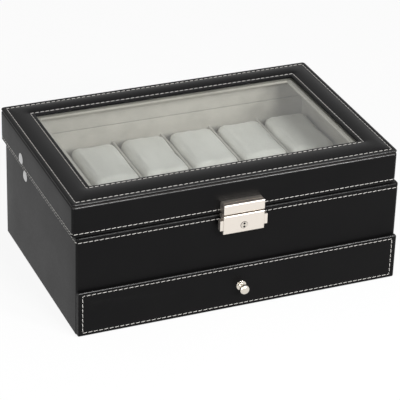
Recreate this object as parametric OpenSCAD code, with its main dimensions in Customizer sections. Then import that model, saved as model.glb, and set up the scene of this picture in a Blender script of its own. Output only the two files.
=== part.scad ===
// Watch box: a covered case with a tray for twelve cushions, a glazed lid
// on two hinges, a folding stay, a squeeze lock with a key plug and a drawer.
// +X points right, -Y points to the front, +Z points up, the box stands on z = 0.

/* [Case] */
// Outer width of the case, over its covering
box_w = 300; // [270:1:340]
// Outer depth of the case, over its covering
box_d = 194; // [180:1:220]
// Height of the case from the table to the seam
case_h = 95.1; // [90:0.1:110]
// Thickness of the boards
board_t = 3.4; // [2.6:0.1:4.5]
// Thickness of the leatherette covering
cover_t = 0.8; // [0.5:0.1:1.2]
// Thickness of the velvet lining
lining_t = 1.2; // [0.8:0.1:1.8]
// Radius of the upright corners of case and lid
corner_r = 3; // [2:0.5:6]
// Thickness of the felt sheet under the base
felt_t = 1; // [0.6:0.1:2]
// Distance from the felt sheet to the edge of the base
felt_inset = 4; // [2:0.5:10]

/* [Tray] */
// Depth of the tray, from the seam down to the top of its floor board
tray_deep = 50.7; // [46:0.1:54]
// Number of slots across the tray
slots_across = 6; // [6:1:7]
// Thickness of the divider boards
divider_t = 2.4; // [1.6:0.1:3]
// Height of the dividers above the lined floor
divider_h = 32.6; // [20:0.1:36]
// Play of the halving joint between the dividers
halving_play = 0.1; // [0.05:0.05:0.3]
// Length of a watch cushion, front to back
cushion_l = 74; // [60:1:80]
// Height of a watch cushion
cushion_h = 38.2; // [30:0.1:40]
// Radius of the cushion's edges
cushion_r = 5; // [4:0.5:12]
// Air between a cushion and the divider beside it
cushion_side_gap = 0.7; // [0.3:0.1:2]
// Air that keeps a soft part clear of what it lies on
soft_gap = 0.3; // [0.2:0.1:0.5]

/* [Lid] */
// Height of the lid, from its lower edge to its top
lid_h = 32.4; // [28:0.1:40]
// Height of the seam between case and lid
seam_gap = 0.5; // [0.3:0.1:1]
// How far the lid sits to the right of the case (negative is left)
lid_shift = -3.7; // [-4:0.1:0]
// Thickness of the padded frame on top of the lid
top_frame_t = 3.2; // [2.4:0.1:4.6]
// Radius of the top frame's outer edge
top_edge_r = 1.6; // [0.6:0.1:2]
// Width of the top frame at the left and right of the window
frame_side = 24.3; // [18:0.1:30]
// Width of the top frame in front of the window
frame_front = 28; // [20:0.1:34]
// Width of the top frame behind the window
frame_back = 23.6; // [18:0.1:30]
// Corner radius of the window
window_r = 1.5; // [0.5:0.1:4]
// Thickness of the glass
glass_t = 2; // [1.5:0.1:3]
// How far the glass reaches under the top frame
glass_lap = 5; // [3:0.5:10]
// How far the velvet frame shows inside the window of the top frame
glass_ledge = 5; // [0:0.5:8]
// Play around the edge of the glass
glass_play = 0.3; // [0.1:0.1:1]
// Height of the lined frame that holds the glass from below
window_frame_h = 4.4; // [3.5:0.1:8]

/* [Hinges] */
// Distance from the middle of the box to the middle of each hinge
hinge_x = 88; // [60:1:110]
// Width of a hinge
hinge_w = 36; // [24:1:44]
// Height of a hinge leaf
leaf_h = 15; // [10:0.5:20]
// Thickness of a hinge leaf
leaf_t = 1; // [0.8:0.1:1.2]
// Radius of the hinge knuckles
knuckle_r = 2.2; // [1.8:0.1:2.6]
// Radius of the hinge pin
pin_r = 0.9; // [0.7:0.05:1.1]
// Radial play of pins and rivets in the pieces that turn on them
pivot_play = 0.05; // [0.03:0.01:0.08]
// Air between knuckles, and between a knuckle and the back of the box
knuckle_gap = 0.2; // [0.15:0.05:0.3]
// Radius of the screw holes in the leaves
leaf_hole_r = 1.2; // [0.8:0.1:1.5]

/* [Stay] */
// Distance from the back of the box to the two outer studs
stud_from_back = 57.7; // [50:0.1:64]
// Distance from the seam down to the stud in the case
stud_below_seam = 9.3; // [9:0.1:11]
// Distance from the lid's lower edge up to the stud in the lid
stud_above_seam = 8.3; // [7:0.1:11]
// Radius of the stud heads outside
stud_head_r = 5; // [4:0.1:6]
// Height of the stud heads outside
stud_head_h = 1.3; // [0.8:0.1:1.6]
// Radius of the pivots of the stay
pivot_r = 1.5; // [1.2:0.1:1.8]
// Width of the stay arms between their eyes
arm_w = 6; // [4:0.5:7]
// Radius of the eyes at the ends of the stay arms
eye_r = 4; // [3.6:0.1:4.2]
// Thickness of the stay arms
arm_t = 1.2; // [0.8:0.1:1.4]
// Side air between the arms and what they pass
arm_gap = 0.3; // [0.2:0.05:0.35]
// Radial play of the elbow rivet in the upper arm
elbow_play = 0.2; // [0.1:0.05:0.3]
// Radius of the inner heads that keep the arms on their pivots
rivet_head_r = 3; // [2.4:0.1:3.4]
// Thickness of the inner heads
rivet_head_t = 0.8; // [0.5:0.1:1]
// Width of the upper arm's tail beyond the elbow
tail_w = 4; // [3:0.5:5]
// Radius of the tail's round end
tail_r = 2.5; // [2.2:0.1:3]
// Distance from the elbow to the middle of the stop lug
stop_reach = 9; // [8:0.5:11]
// Radius of the stop lug
stop_r = 1.4; // [1:0.1:1.8]
// Angle at which the stay stops the lid
open_angle = 95; // [85:1:100]

/* [Lock] */
// How far the lock sits to the right of the middle (negative is left)
lock_shift = -2; // [-6:0.1:6]
// Width of lock and hasp
lock_w = 38; // [36:0.1:44]
// Height of the lock on the case
lock_h = 17.6; // [17:0.1:22]
// Height of the hasp on the lid
hasp_h = 9.3; // [8:0.1:14]
// How far lock and hasp stand out from the box
lock_deep = 9; // [8.6:0.1:11]
// Height of the lock's top above the seam
lock_above = 1.5; // [0.5:0.1:2]
// Air between the lock and the hasp
lock_gap = 1.2; // [0.8:0.1:2]
// Wall thickness of the lock housing
lock_wall = 1; // [0.8:0.1:1.2]
// Thickness of the lock's front plate
lock_face_t = 0.6; // [0.5:0.1:0.8]
// Radius of the front edges of lock and hasp
lock_edge_r = 1; // [0.5:0.1:1.3]
// Height of the squeeze buttons
button_h = 9.6; // [9.6:0.1:10.4]
// How far the squeeze buttons stand out at rest
button_out = 2.9; // [2.5:0.1:4]
// Travel of the squeeze buttons
button_travel = 2; // [1:0.1:2.2]
// Air around the squeeze buttons
button_gap = 0.2; // [0.1:0.05:0.3]
// Radius of the key plug
plug_r = 2.5; // [2.2:0.1:2.6]
// Radius of the two holes that take the pins of the key
key_hole_r = 0.8; // [0.6:0.05:0.9]
// Distance from the middle of the plug to each of these holes
key_hole_out = 1.35; // [1.1:0.05:1.5]
// Height of the ring around the key plug
plug_ring_h = 0.4; // [0.2:0.1:0.6]
// Distance from the middle of the lock down to the plug
plug_drop = 2; // [1.5:0.1:2.4]
// Distance from the middle of the lock to the middle of each hasp leg
leg_x = 10.2; // [10:0.1:11]
// Width of a hasp leg
leg_w = 2.5; // [2:0.1:2.8]
// Thickness of a hasp leg
leg_t = 1.4; // [1:0.1:1.6]
// How far a hasp leg reaches into the lock
leg_reach = 7.8; // [7:0.1:8.2]
// How far the barb of a leg stands in
barb_in = 1.5; // [1:0.1:1.8]
// Height of the barb
barb_h = 1.4; // [1:0.1:1.8]

/* [Drawer] */
// How far the drawer front reaches up over the board above the drawer
drawer_lap = 2.9; // [2:0.1:4]
// Air under the drawer front
drawer_front_lift = 1.2; // [0.8:0.1:2]
// Thickness of the drawer front, over its covering
drawer_front_t = 3.4; // [2.6:0.1:5]
// Radius of the drawer front's outer edges
drawer_edge_r = 1; // [0.9:0.1:1.6]
// Air between the drawer front and the case
drawer_front_gap = 0.2; // [0.1:0.1:0.5]
// Air behind the drawer when it is shut
drawer_back_gap = 8; // [2:0.5:40]
// Thickness of the drawer's sides and back
drawer_side_t = 3; // [2.2:0.1:4]
// Thickness of the drawer's bottom
drawer_bottom_t = 2.4; // [1.8:0.1:3]
// Play between the drawer and the sides of its bay
drawer_play = 0.6; // [0.4:0.1:1.5]
// Play under the drawer
drawer_float = 0.3; // [0.2:0.1:0.5]
// Air above the drawer's sides
drawer_head = 1.4; // [1:0.1:6]
// Radius of the knob's collar
collar_r = 4.6; // [3.8:0.05:6]
// Thickness of the knob's collar
collar_t = 1.1; // [0.8:0.1:2]
// Radius of the knob's neck
neck_r = 2.3; // [2:0.1:3]
// Radius of the knob's head
head_r = 4.55; // [3.6:0.05:7]
// Distance from the drawer front to the middle of the knob's head
head_out = 7.7; // [6.5:0.1:12]
// Half of the thickness of the knob's head
head_half = 3; // [2.4:0.1:3.4]
// Radius of the knob's screw
screw_r = 1.5; // [1.2:0.1:1.8]
// Radius of the screw's head
screw_head_r = 3.2; // [2.6:0.1:4]
// Height of the screw's head
screw_head_h = 1.8; // [1:0.1:2.4]

/* [Hidden] */
$fn = 32;
// Overshoot of the cutting shapes
cut = 1;
lid_x = lid_shift;
lid_z = case_h + seam_gap;
top_z = lid_z + lid_h;
// A covered and lined wall, from outside to inside
wall_t = cover_t + board_t + lining_t;
skin_t = cover_t + board_t;
// Inside of the boards and inside of the lining
board_in_w = box_w - 2 * skin_t;
board_in_d = box_d - 2 * skin_t;
tray_w = box_w - 2 * wall_t;
tray_d = box_d - 2 * wall_t;
// Heights in the case
base_top = felt_t + board_t;
tray_floor_top = case_h - tray_deep;
bay_top = tray_floor_top - board_t;
floor_z = tray_floor_top + lining_t;
// Slots and cushions
slot_pitch = tray_w / slots_across;
cushion_w = slot_pitch - divider_t - 2 * cushion_side_gap;
row_y = (tray_d + divider_t) / 4;
// Window, seen from above
window_w = box_w - 2 * frame_side;
window_d = box_d - frame_front - frame_back;
window_y = (frame_front - frame_back) / 2;
glass_top = top_z - top_frame_t;
window_frame_z = glass_top - window_frame_h;
// Hinge axis
axis_y = box_d / 2 + knuckle_r + knuckle_gap;
axis_z = case_h + seam_gap / 2;
knuckle_l = (hinge_w - 2 * knuckle_gap) / 3;
// Stay: with the axis, the two studs and the elbow form a parallelogram
stud_y = box_d / 2 - stud_from_back;
case_stud_z = case_h - stud_below_seam;
lid_stud_z = lid_z + stud_above_seam;
case_pivot = [stud_y, case_stud_z];
lid_pivot = [stud_y, lid_stud_z];
elbow = case_pivot + lid_pivot - [axis_y, axis_z];
lower_arm_x = -tray_w / 2 + arm_gap;
upper_arm_x = lower_arm_x + arm_t + arm_gap;
case_left = -box_w / 2;
lid_left = lid_x - box_w / 2;
// Angles at the elbow, seen from the left
lower_dir = atan2(case_pivot[1] - elbow[1], case_pivot[0] - elbow[0]);
stop_half = asin((arm_w / 2 + stop_r + elbow_play) / stop_reach);
stop_dir = lower_dir - open_angle - stop_half;
// Lock
box_front = -box_d / 2;
lock_top = case_h + lock_above;
lock_mid = lock_top - lock_h / 2;
lock_front = box_front - lock_deep;
plug_z = lock_mid - plug_drop;
boss_r = plug_r + lock_wall / 2;
hasp_z = lock_top + lock_gap;
leg_y = box_front - lock_deep / 3;
leg_low = lock_top - leg_reach;
// Squeeze buttons: their front, their back and the lugs that hold the barbs
button_front = lock_front + lock_face_t + button_gap;
button_back = leg_y - leg_t / 2 - button_gap;
button_low = lock_mid - button_h / 2;
lug_z = leg_low + barb_h + 2 * button_gap;
lug_w = 2;
lug_out = leg_x - leg_w / 2 - barb_in - button_gap;
// Drawer
front_y = box_front - drawer_front_gap;
drawer_l = board_in_d / 2 - drawer_back_gap - front_y;
drawer_front_h = bay_top + drawer_lap - drawer_front_lift;
drawer_w = board_in_w - 2 * drawer_play;
drawer_z = base_top + drawer_float;
drawer_top = bay_top - drawer_head;
drawer_in_w = drawer_w - 2 * drawer_side_t;
knob_z = drawer_front_lift + drawer_front_h / 2;

leather = "#1c1b1c";
board = "#8a7558";
velvet = "#b6b0a2";
velvet_dark = "#8f8a7f";
nickel = "#d9d2c5";
steel = "#b9bcc0";
felt = "#2b2b2d";
glass = [0.75, 0.82, 0.85, 0.35];

// ---- Shapes used by several pieces ----

// A rectangle about the origin with round corners
module round_rect(w, d, r) {
    square([w - 2 * r, d], center = true);
    square([w, d - 2 * r], center = true);
    for (x = [-1, 1], y = [-1, 1])
        translate([x * (w / 2 - r), y * (d / 2 - r)]) circle(r);
}

// The side view of a slab: flat below, the two upper corners round
module slab_profile(w, h, r) {
    translate([-w / 2, 0]) square([w, h - r]);
    translate([r - w / 2, 0]) square([w - 2 * r, h]);
    for (x = [-1, 1]) translate([x * (w / 2 - r), h - r]) circle(r);
}

// A slab on z = 0 with round upright corners and a round upper edge
module slab(w, d, h, r, edge) {
    intersection() {
        linear_extrude(h) round_rect(w, d, r);
        rotate([90, 0, 0])
            linear_extrude(d + 2 * cut, center = true) slab_profile(w, h, edge);
        rotate([90, 0, 90])
            linear_extrude(w + 2 * cut, center = true) slab_profile(d, h, edge);
    }
}

// A pillow about the origin: all twelve edges round
module pillow(w, d, h, r) {
    intersection() {
        linear_extrude(h, center = true) round_rect(w, d, r);
        rotate([90, 0, 0])
            linear_extrude(d + 2 * cut, center = true) round_rect(w, h, r);
        rotate([90, 0, 90])
            linear_extrude(w + 2 * cut, center = true) round_rect(d, h, r);
    }
}

// A block given by its lowest and highest corners
module block(low, high) {
    translate(low) cube(high - low);
}

// A round bar along X
module bar_x(x0, x1, y, z, r) {
    translate([x0, y, z]) rotate([0, 90, 0]) cylinder(h = x1 - x0, r = r);
}

// A round bar along Y, from the front end to the back end
module bar_y(y0, y1, x, z, r) {
    translate([x, y1, z]) rotate([90, 0, 0]) cylinder(h = y1 - y0, r = r);
}

// The hole that a stud needs in the left wall
module stud_hole(left, z) {
    bar_x(left - cut, left + wall_t + cut, stud_y, z, pivot_r);
}

// ---- Case ----

module base_felt() {
    color(felt) linear_extrude(felt_t)
        round_rect(box_w - 2 * felt_inset, box_d - 2 * felt_inset, corner_r);
}

module base_panel() {
    color(board) block(
        [-board_in_w / 2, box_front + cover_t, felt_t],
        [board_in_w / 2, board_in_d / 2, base_top]);
}

// Side boards run the full depth, inside the covering
module side_panel(side) {
    inner_r = corner_r - cover_t;
    color(board) intersection() {
        translate([0, 0, felt_t]) linear_extrude(case_h - cover_t - felt_t)
            round_rect(box_w - 2 * cover_t, box_d - 2 * cover_t, inner_r);
        translate([side * (box_w / 2 - cover_t - board_t / 2), 0, case_h / 2])
            cube([board_t, box_d, 2 * case_h], center = true);
    }
}

module side_panel_left() {
    difference() {
        side_panel(-1);
        color(board) stud_hole(case_left, case_stud_z);
    }
}

module side_panel_right() side_panel(1);

module back_panel() {
    color(board) block(
        [-board_in_w / 2, board_in_d / 2, felt_t],
        [board_in_w / 2, board_in_d / 2 + board_t, case_h - cover_t]);
}

module front_panel() {
    color(board) block(
        [-board_in_w / 2, -board_in_d / 2 - board_t, bay_top],
        [board_in_w / 2, -board_in_d / 2, case_h - cover_t]);
}

module tray_floor() {
    color(board) block(
        [-board_in_w / 2, -board_in_d / 2, bay_top],
        [board_in_w / 2, board_in_d / 2, tray_floor_top]);
}

// The covering wraps the boards outside and turns over their upper edge
module case_cover() {
    color(leather) difference() {
        translate([0, 0, felt_t]) linear_extrude(case_h - felt_t)
            round_rect(box_w, box_d, corner_r);
        translate([0, 0, -cut]) linear_extrude(case_h + cut - cover_t)
            round_rect(box_w - 2 * cover_t, box_d - 2 * cover_t, corner_r - cover_t);
        linear_extrude(case_h + cut) square([board_in_w, board_in_d], center = true);
        block([-board_in_w / 2, box_front - cut, 0], [board_in_w / 2, 0, bay_top]);
        stud_hole(case_left, case_stud_z);
    }
}

// Velvet on the four walls and the floor of the tray
module tray_lining() {
    color(velvet) difference() {
        translate([0, 0, tray_floor_top]) linear_extrude(case_h - tray_floor_top)
            square([board_in_w, board_in_d], center = true);
        translate([0, 0, floor_z]) linear_extrude(case_h)
            square([tray_w, tray_d], center = true);
        stud_hole(case_left, case_stud_z);
    }
}

// The long divider is slotted from above for the cross dividers
module long_divider() {
    color(velvet_dark) difference() {
        block([-tray_w / 2, -divider_t / 2, floor_z],
            [tray_w / 2, divider_t / 2, floor_z + divider_h]);
        for (i = [1 : slots_across - 1])
            translate([i * slot_pitch - tray_w / 2, 0, floor_z + divider_h])
                cube([divider_t + 2 * halving_play, tray_d, divider_h], center = true);
    }
}

// Each cross divider is slotted from below and drops over the long one
module cross_divider(i) {
    color(velvet_dark) translate([i * slot_pitch - tray_w / 2, 0, floor_z])
        difference() {
            block([-divider_t / 2, -tray_d / 2, 0],
                [divider_t / 2, tray_d / 2, divider_h]);
            cube([tray_w, divider_t + 2 * halving_play, divider_h], center = true);
        }
}

// Cushions stand in two rows; row -1 is the front row
module cushion(row, i) {
    color(velvet) translate([
        (i - 0.5) * slot_pitch - tray_w / 2,
        row * row_y,
        floor_z + soft_gap + cushion_h / 2])
        pillow(cushion_w, cushion_l, cushion_h, cushion_r);
}

// ---- Hinges ----

// One leaf: a screwed plate and its knuckles; up is 1 on the lid, -1 on the case
module hinge_leaf(up, knuckles) {
    back = box_d / 2;
    difference() {
        union() {
            translate([-hinge_w / 2, back, min(up * (knuckle_r + knuckle_gap),
                up * (knuckle_r + knuckle_gap + leaf_h))])
                cube([hinge_w, leaf_t, leaf_h]);
            for (k = knuckles)
                translate([k * (knuckle_l + knuckle_gap) - knuckle_l / 2, 0, 0]) {
                    translate([0, back, min(0, up * (knuckle_r + leaf_h / 2))])
                        cube([knuckle_l, leaf_t, knuckle_r + leaf_h / 2]);
                    bar_x(0, knuckle_l, axis_y, 0, knuckle_r);
                }
        }
        bar_x(-hinge_w, hinge_w, axis_y, 0, pin_r + pivot_play);
        for (x = [-1 : 1])
            bar_y(back - cut, back + leaf_t + cut, x * hinge_w / 3,
                up * (knuckle_r + leaf_h * (x == 0 ? 0.72 : 0.45)), leaf_hole_r);
    }
}

module hinge_leaves_case() {
    color(nickel) for (side = [-1, 1])
        translate([side * hinge_x, 0, axis_z]) hinge_leaf(-1, [-1, 1]);
}

module hinge_leaves_lid() {
    color(nickel) for (side = [-1, 1])
        translate([side * hinge_x, 0, axis_z]) hinge_leaf(1, [0]);
}

module hinge_pins() {
    color(steel) for (side = [-1, 1])
        translate([side * hinge_x, 0, axis_z])
            bar_x(-hinge_w / 2, hinge_w / 2, axis_y, 0, pin_r);
}

// ---- Lid ----

// The skirt of the lid is built like the case: boards inside a covering
module lid_side(side) {
    color(board) translate([lid_x, 0, 0]) intersection() {
        translate([0, 0, lid_z + cover_t])
            linear_extrude(lid_h - cover_t - top_frame_t)
                round_rect(box_w - 2 * cover_t, box_d - 2 * cover_t,
                    corner_r - cover_t);
        translate([side * (box_w / 2 - cover_t - board_t / 2), 0, lid_z])
            cube([board_t, box_d, 4 * lid_h], center = true);
    }
}

module lid_panel_left() {
    difference() {
        lid_side(-1);
        color(board) stud_hole(lid_left, lid_stud_z);
    }
}

module lid_panel_right() lid_side(1);

module lid_end(side) {
    y0 = side > 0 ? board_in_d / 2 : -board_in_d / 2 - board_t;
    color(board) block(
        [lid_x - board_in_w / 2, y0, lid_z + cover_t],
        [lid_x + board_in_w / 2, y0 + board_t, glass_top]);
}

module lid_panel_front() lid_end(-1);

module lid_panel_back() lid_end(1);

module lid_cover() {
    color(leather) difference() {
        translate([lid_x, 0, 0]) difference() {
            translate([0, 0, lid_z]) linear_extrude(lid_h - top_frame_t)
                round_rect(box_w, box_d, corner_r);
            translate([0, 0, lid_z + cover_t]) linear_extrude(lid_h)
                round_rect(box_w - 2 * cover_t, box_d - 2 * cover_t,
                    corner_r - cover_t);
            linear_extrude(top_z) square([board_in_w, board_in_d], center = true);
        }
        stud_hole(lid_left, lid_stud_z);
    }
}

// Padded frame with a round outer edge and the window in it
module lid_top_frame() {
    color(leather) translate([lid_x, 0, glass_top]) difference() {
        slab(box_w, box_d, top_frame_t, corner_r, top_edge_r);
        translate([0, window_y, -cut]) linear_extrude(top_frame_t + 2 * cut)
            round_rect(window_w, window_d, window_r);
    }
}

module lid_glass() {
    color(glass) translate([lid_x, window_y, glass_top - glass_t])
        linear_extrude(glass_t)
            round_rect(window_w + 2 * glass_lap, window_d + 2 * glass_lap, window_r);
}

// Velvet covered frame with a rebate that carries the glass
module lid_window_frame() {
    rebate = 2 * (glass_lap + glass_play);
    color(velvet) translate([lid_x, 0, window_frame_z]) difference() {
        linear_extrude(window_frame_h)
            square([board_in_w, board_in_d], center = true);
        translate([0, window_y, -cut]) linear_extrude(window_frame_h + 2 * cut)
            round_rect(window_w - 2 * glass_ledge, window_d - 2 * glass_ledge, window_r);
        translate([0, window_y, window_frame_h - glass_t]) linear_extrude(glass_t + cut)
            round_rect(window_w + rebate, window_d + rebate, window_r + glass_play);
    }
}

module lid_lining() {
    color(velvet) difference() {
        translate([lid_x, 0, lid_z]) linear_extrude(window_frame_z - lid_z)
            difference() {
                square([board_in_w, board_in_d], center = true);
                square([tray_w, tray_d], center = true);
            }
        stud_hole(lid_left, lid_stud_z);
    }
}

// ---- Stay ----

// Domed outer head of a stud, standing out to the left
module stud_head(left, z) {
    dome_r = (pow(stud_head_r, 2) + pow(stud_head_h, 2)) / (2 * stud_head_h);
    translate([left, stud_y, z]) rotate([0, -90, 0]) intersection() {
        translate([0, 0, stud_head_h - dome_r]) sphere(dome_r);
        cylinder(h = stud_head_h, r = stud_head_r);
    }
}

module stay_stud_case() {
    arm_in = lower_arm_x + arm_t;
    color(nickel) {
        stud_head(case_left, case_stud_z);
        bar_x(case_left, arm_in + arm_gap, stud_y, case_stud_z, pivot_r);
        bar_x(-tray_w / 2, lower_arm_x - arm_gap / 3, stud_y, case_stud_z,
            rivet_head_r);
        bar_x(arm_in + arm_gap / 2, arm_in + arm_gap / 2 + rivet_head_t,
            stud_y, case_stud_z, rivet_head_r);
    }
}

// The lid's stud carries a spacer, because its arm runs beside the other
module stay_stud_lid() {
    arm_in = upper_arm_x + arm_t;
    color(nickel) {
        stud_head(lid_left, lid_stud_z);
        bar_x(lid_left, arm_in + arm_gap, stud_y, lid_stud_z, pivot_r);
        bar_x(lid_left + wall_t, upper_arm_x - arm_gap / 2, stud_y, lid_stud_z,
            rivet_head_r);
        bar_x(arm_in + arm_gap / 2, arm_in + arm_gap / 2 + rivet_head_t,
            stud_y, lid_stud_z, rivet_head_r);
    }
}

// A flat bar between two points of the side view
module strap(x, from, to, w) {
    run = to - from;
    translate([x, from[0], from[1]]) rotate([atan2(run[1], run[0]), 0, 0])
        translate([0, 0, -w / 2]) cube([arm_t, norm(run), w]);
}

// The round eye at the end of an arm
module eye(x, at) {
    bar_x(x, x + arm_t, at[0], at[1], eye_r);
}

module stay_arm_lower() {
    color(steel) difference() {
        union() {
            strap(lower_arm_x, case_pivot, elbow, arm_w);
            eye(lower_arm_x, case_pivot);
            eye(lower_arm_x, elbow);
        }
        bar_x(lower_arm_x - cut, upper_arm_x, case_pivot[0], case_pivot[1],
            pivot_r + pivot_play);
        bar_x(lower_arm_x - cut, upper_arm_x, elbow[0], elbow[1], pivot_r);
    }
}

// The upper arm runs on past the elbow to carry the stop lug
module stay_arm_upper() {
    lug = elbow + stop_reach * [cos(stop_dir), sin(stop_dir)];
    past = upper_arm_x + arm_t + cut;
    color(steel) difference() {
        union() {
            strap(upper_arm_x, elbow, lid_pivot, arm_w);
            strap(upper_arm_x, elbow, lug, tail_w);
            eye(upper_arm_x, lid_pivot);
            eye(upper_arm_x, elbow);
            bar_x(upper_arm_x, upper_arm_x + arm_t, lug[0], lug[1], tail_r);
            bar_x(lower_arm_x, upper_arm_x + arm_t / 2, lug[0], lug[1], stop_r);
        }
        bar_x(upper_arm_x - cut, past, lid_pivot[0], lid_pivot[1],
            pivot_r + pivot_play);
        bar_x(upper_arm_x - cut, past, elbow[0], elbow[1], pivot_r + elbow_play);
    }
}

// The elbow rivet is fast in the lower arm and loose in the upper one
module stay_elbow_rivet() {
    arm_in = upper_arm_x + arm_t + arm_gap;
    color(nickel) {
        bar_x(lower_arm_x, arm_in, elbow[0], elbow[1], pivot_r);
        bar_x(arm_in, arm_in + rivet_head_t, elbow[0], elbow[1], rivet_head_r);
    }
}

// ---- Lock ----

// A block on the front of the box, with its outer edges round
module front_block(w, h, deep, z0) {
    translate([lock_shift, box_front, z0 + h / 2]) rotate([90, 0, 0])
        slab(w, h, deep, lock_edge_r, lock_edge_r);
}

// The left and the right half of the lock are mirror images
module both_halves() {
    for (side = [-1, 1])
        translate([lock_shift, 0, 0]) scale([side, 1, 1]) children();
}

// Two hooked legs hang from the hasp into the lock
module hasp() {
    color(nickel) {
        difference() {
            front_block(lock_w, hasp_h, lock_deep, hasp_z);
            translate([lock_shift, box_front - lock_deep / 2, hasp_z + hasp_h])
                cube([lock_w - 2 * lock_wall, lock_wall / 2, lock_wall], center = true);
        }
        both_halves() {
            block([leg_x - leg_w / 2, leg_y - leg_t / 2, leg_low],
                [leg_x + leg_w / 2, leg_y + leg_t / 2, hasp_z + hasp_h / 2]);
            block([leg_x - leg_w / 2 - barb_in, leg_y - leg_t / 2, leg_low],
                [leg_x, leg_y + leg_t / 2, leg_low + barb_h]);
        }
    }
}

// A shell, open at the back, with a ring and a boss for the key plug
module lock_housing() {
    side_wall = lock_wall + lock_edge_r / 2;
    color(nickel) difference() {
        union() {
            difference() {
                front_block(lock_w, lock_h, lock_deep, lock_top - lock_h);
                block([lock_shift - lock_w / 2 + side_wall, lock_front + lock_face_t,
                        lock_top - lock_h + lock_wall],
                    [lock_shift + lock_w / 2 - side_wall, box_front + cut,
                        lock_top - lock_wall]);
            }
            bar_y(lock_front - plug_ring_h, leg_y - leg_t, lock_shift, plug_z, boss_r);
        }
        bar_y(lock_front - lock_deep, box_front, lock_shift, plug_z,
            plug_r + pivot_play);
        both_halves() {
            translate([0, 0, lock_mid]) block(
                [lock_w / 2 - side_wall - cut, lock_front + lock_face_t,
                    -button_h / 2 - button_gap],
                [lock_w, box_front + cut, button_h / 2 + button_gap]);
            translate([leg_x, leg_y, lock_top])
                cube([leg_w + 2 * button_gap, leg_t + 4 * button_gap, 3 * lock_wall],
                    center = true);
        }
    }
}

// Squeeze button: tab outside, stepped bar inside, lug above the hasp's barb
module lock_button(side) {
    bar_in = boss_r + button_travel + button_gap;
    bar_top = lug_z + lug_w;
    color(steel) translate([lock_shift, 0, 0]) scale([side, 1, 1]) {
        block([lock_w / 2 - 3 * lock_wall, button_front, button_low],
            [lock_w / 2 + button_out, button_back, button_low + button_h]);
        block([leg_x, button_front, button_low + lock_wall],
            [lock_w / 2 - lock_wall, button_back, bar_top]);
        block([bar_in, button_front, lug_z - lock_wall],
            [lock_w / 2 - lock_wall, button_back, bar_top]);
        block([lug_out - lug_w, button_back - lug_w, lug_z],
            [lug_out, leg_y + leg_t / 2, bar_top]);
    }
}

module lock_button_left() lock_button(-1);

module lock_button_right() lock_button(1);

// Bent leaf springs between boss and buttons, drawn pressed together
module lock_springs() {
    leaf = 0.3;
    leaf_wide = 1.5;
    foot = button_low - leaf;
    far = leg_x - button_travel - button_gap;
    color(steel) both_halves()
        translate([0, button_back - leaf_wide / 2, 0])
            rotate([90, 0, 0]) linear_extrude(leaf_wide) polygon([
                [boss_r, plug_z], [boss_r + leaf, plug_z],
                [boss_r + 2 * leaf, foot], [far - leaf, plug_z + lock_wall],
                [far, plug_z + lock_wall], [boss_r + 2 * leaf, foot - 2 * leaf],
                [boss_r, foot]]);
}

// The plug turns in the boss; its two key holes are upright when it is unlocked
module lock_plug() {
    face = lock_front - plug_ring_h;
    color(nickel) difference() {
        bar_y(face, leg_y - leg_t, lock_shift, plug_z, plug_r);
        for (up = [-1, 1])
            bar_y(face - cut, face + lock_deep / 4, lock_shift,
                plug_z + up * key_hole_out, key_hole_r);
    }
}

// ---- Drawer ----

// The front overlaps the case; its outer edges are round
module drawer_slab(grow) {
    translate([0, front_y, drawer_front_lift + drawer_front_h / 2])
        rotate([90, 0, 0])
            slab(box_w + 2 * grow, drawer_front_h + 2 * grow, drawer_front_t + grow,
                corner_r / 2 + grow, drawer_edge_r + grow);
}

module drawer_front() {
    color(board) difference() {
        drawer_slab(-cover_t);
        bar_y(front_y - drawer_front_t - cut, front_y + cut, 0, knob_z, screw_r);
    }
}

module drawer_front_cover() {
    color(leather) difference() {
        drawer_slab(0);
        drawer_slab(-cover_t);
        bar_y(front_y - drawer_front_t - cut, front_y + cut, 0, knob_z, screw_r);
    }
}

module drawer_side(side) {
    x0 = side > 0 ? drawer_w / 2 - drawer_side_t : -drawer_w / 2;
    color(board) block(
        [x0, front_y, drawer_z],
        [x0 + drawer_side_t, front_y + drawer_l, drawer_top]);
}

module drawer_side_left() drawer_side(-1);

module drawer_side_right() drawer_side(1);

module drawer_back() {
    color(board) block(
        [-drawer_in_w / 2, front_y + drawer_l - drawer_side_t, drawer_z],
        [drawer_in_w / 2, front_y + drawer_l, drawer_top]);
}

module drawer_bottom() {
    color(board) block(
        [-drawer_in_w / 2, front_y, drawer_z],
        [drawer_in_w / 2, front_y + drawer_l - drawer_side_t,
            drawer_z + drawer_bottom_t]);
}

// Velvet on the drawer's floor and walls, cut out round the knob's screw
module drawer_lining() {
    floor_top = drawer_z + drawer_bottom_t;
    back = front_y + drawer_l - drawer_side_t;
    color(velvet) difference() {
        block([-drawer_in_w / 2, front_y, floor_top],
            [drawer_in_w / 2, back, drawer_top]);
        block([-drawer_in_w / 2 + lining_t, front_y + lining_t, floor_top + lining_t],
            [drawer_in_w / 2 - lining_t, back - lining_t, drawer_top + cut]);
        bar_y(front_y - cut, front_y + lining_t + cut, 0, knob_z,
            screw_head_r + drawer_play);
    }
}

module drawer_knob() {
    outer = front_y - drawer_front_t;
    head = [for (a = [-90 : 15 : 90]) [head_r * cos(a), head_out + head_half * sin(a)]];
    color(nickel) difference() {
        translate([0, outer, knob_z]) rotate([90, 0, 0]) rotate_extrude() {
            square([collar_r, collar_t]);
            square([neck_r, head_out]);
            polygon(head);
        }
        bar_y(outer - head_out, outer + cut, 0, knob_z, screw_r);
    }
}

module knob_screw() {
    outer = front_y - drawer_front_t;
    color(steel) difference() {
        union() {
            bar_y(outer - head_out, front_y, 0, knob_z, screw_r);
            bar_y(front_y, front_y + screw_head_h, 0, knob_z, screw_head_r);
        }
        for (size = [[4, 1.4, 0.8], [0.8, 1.4, 4]])
            translate([0, front_y + screw_head_h, knob_z]) cube(size, center = true);
    }
}

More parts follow.
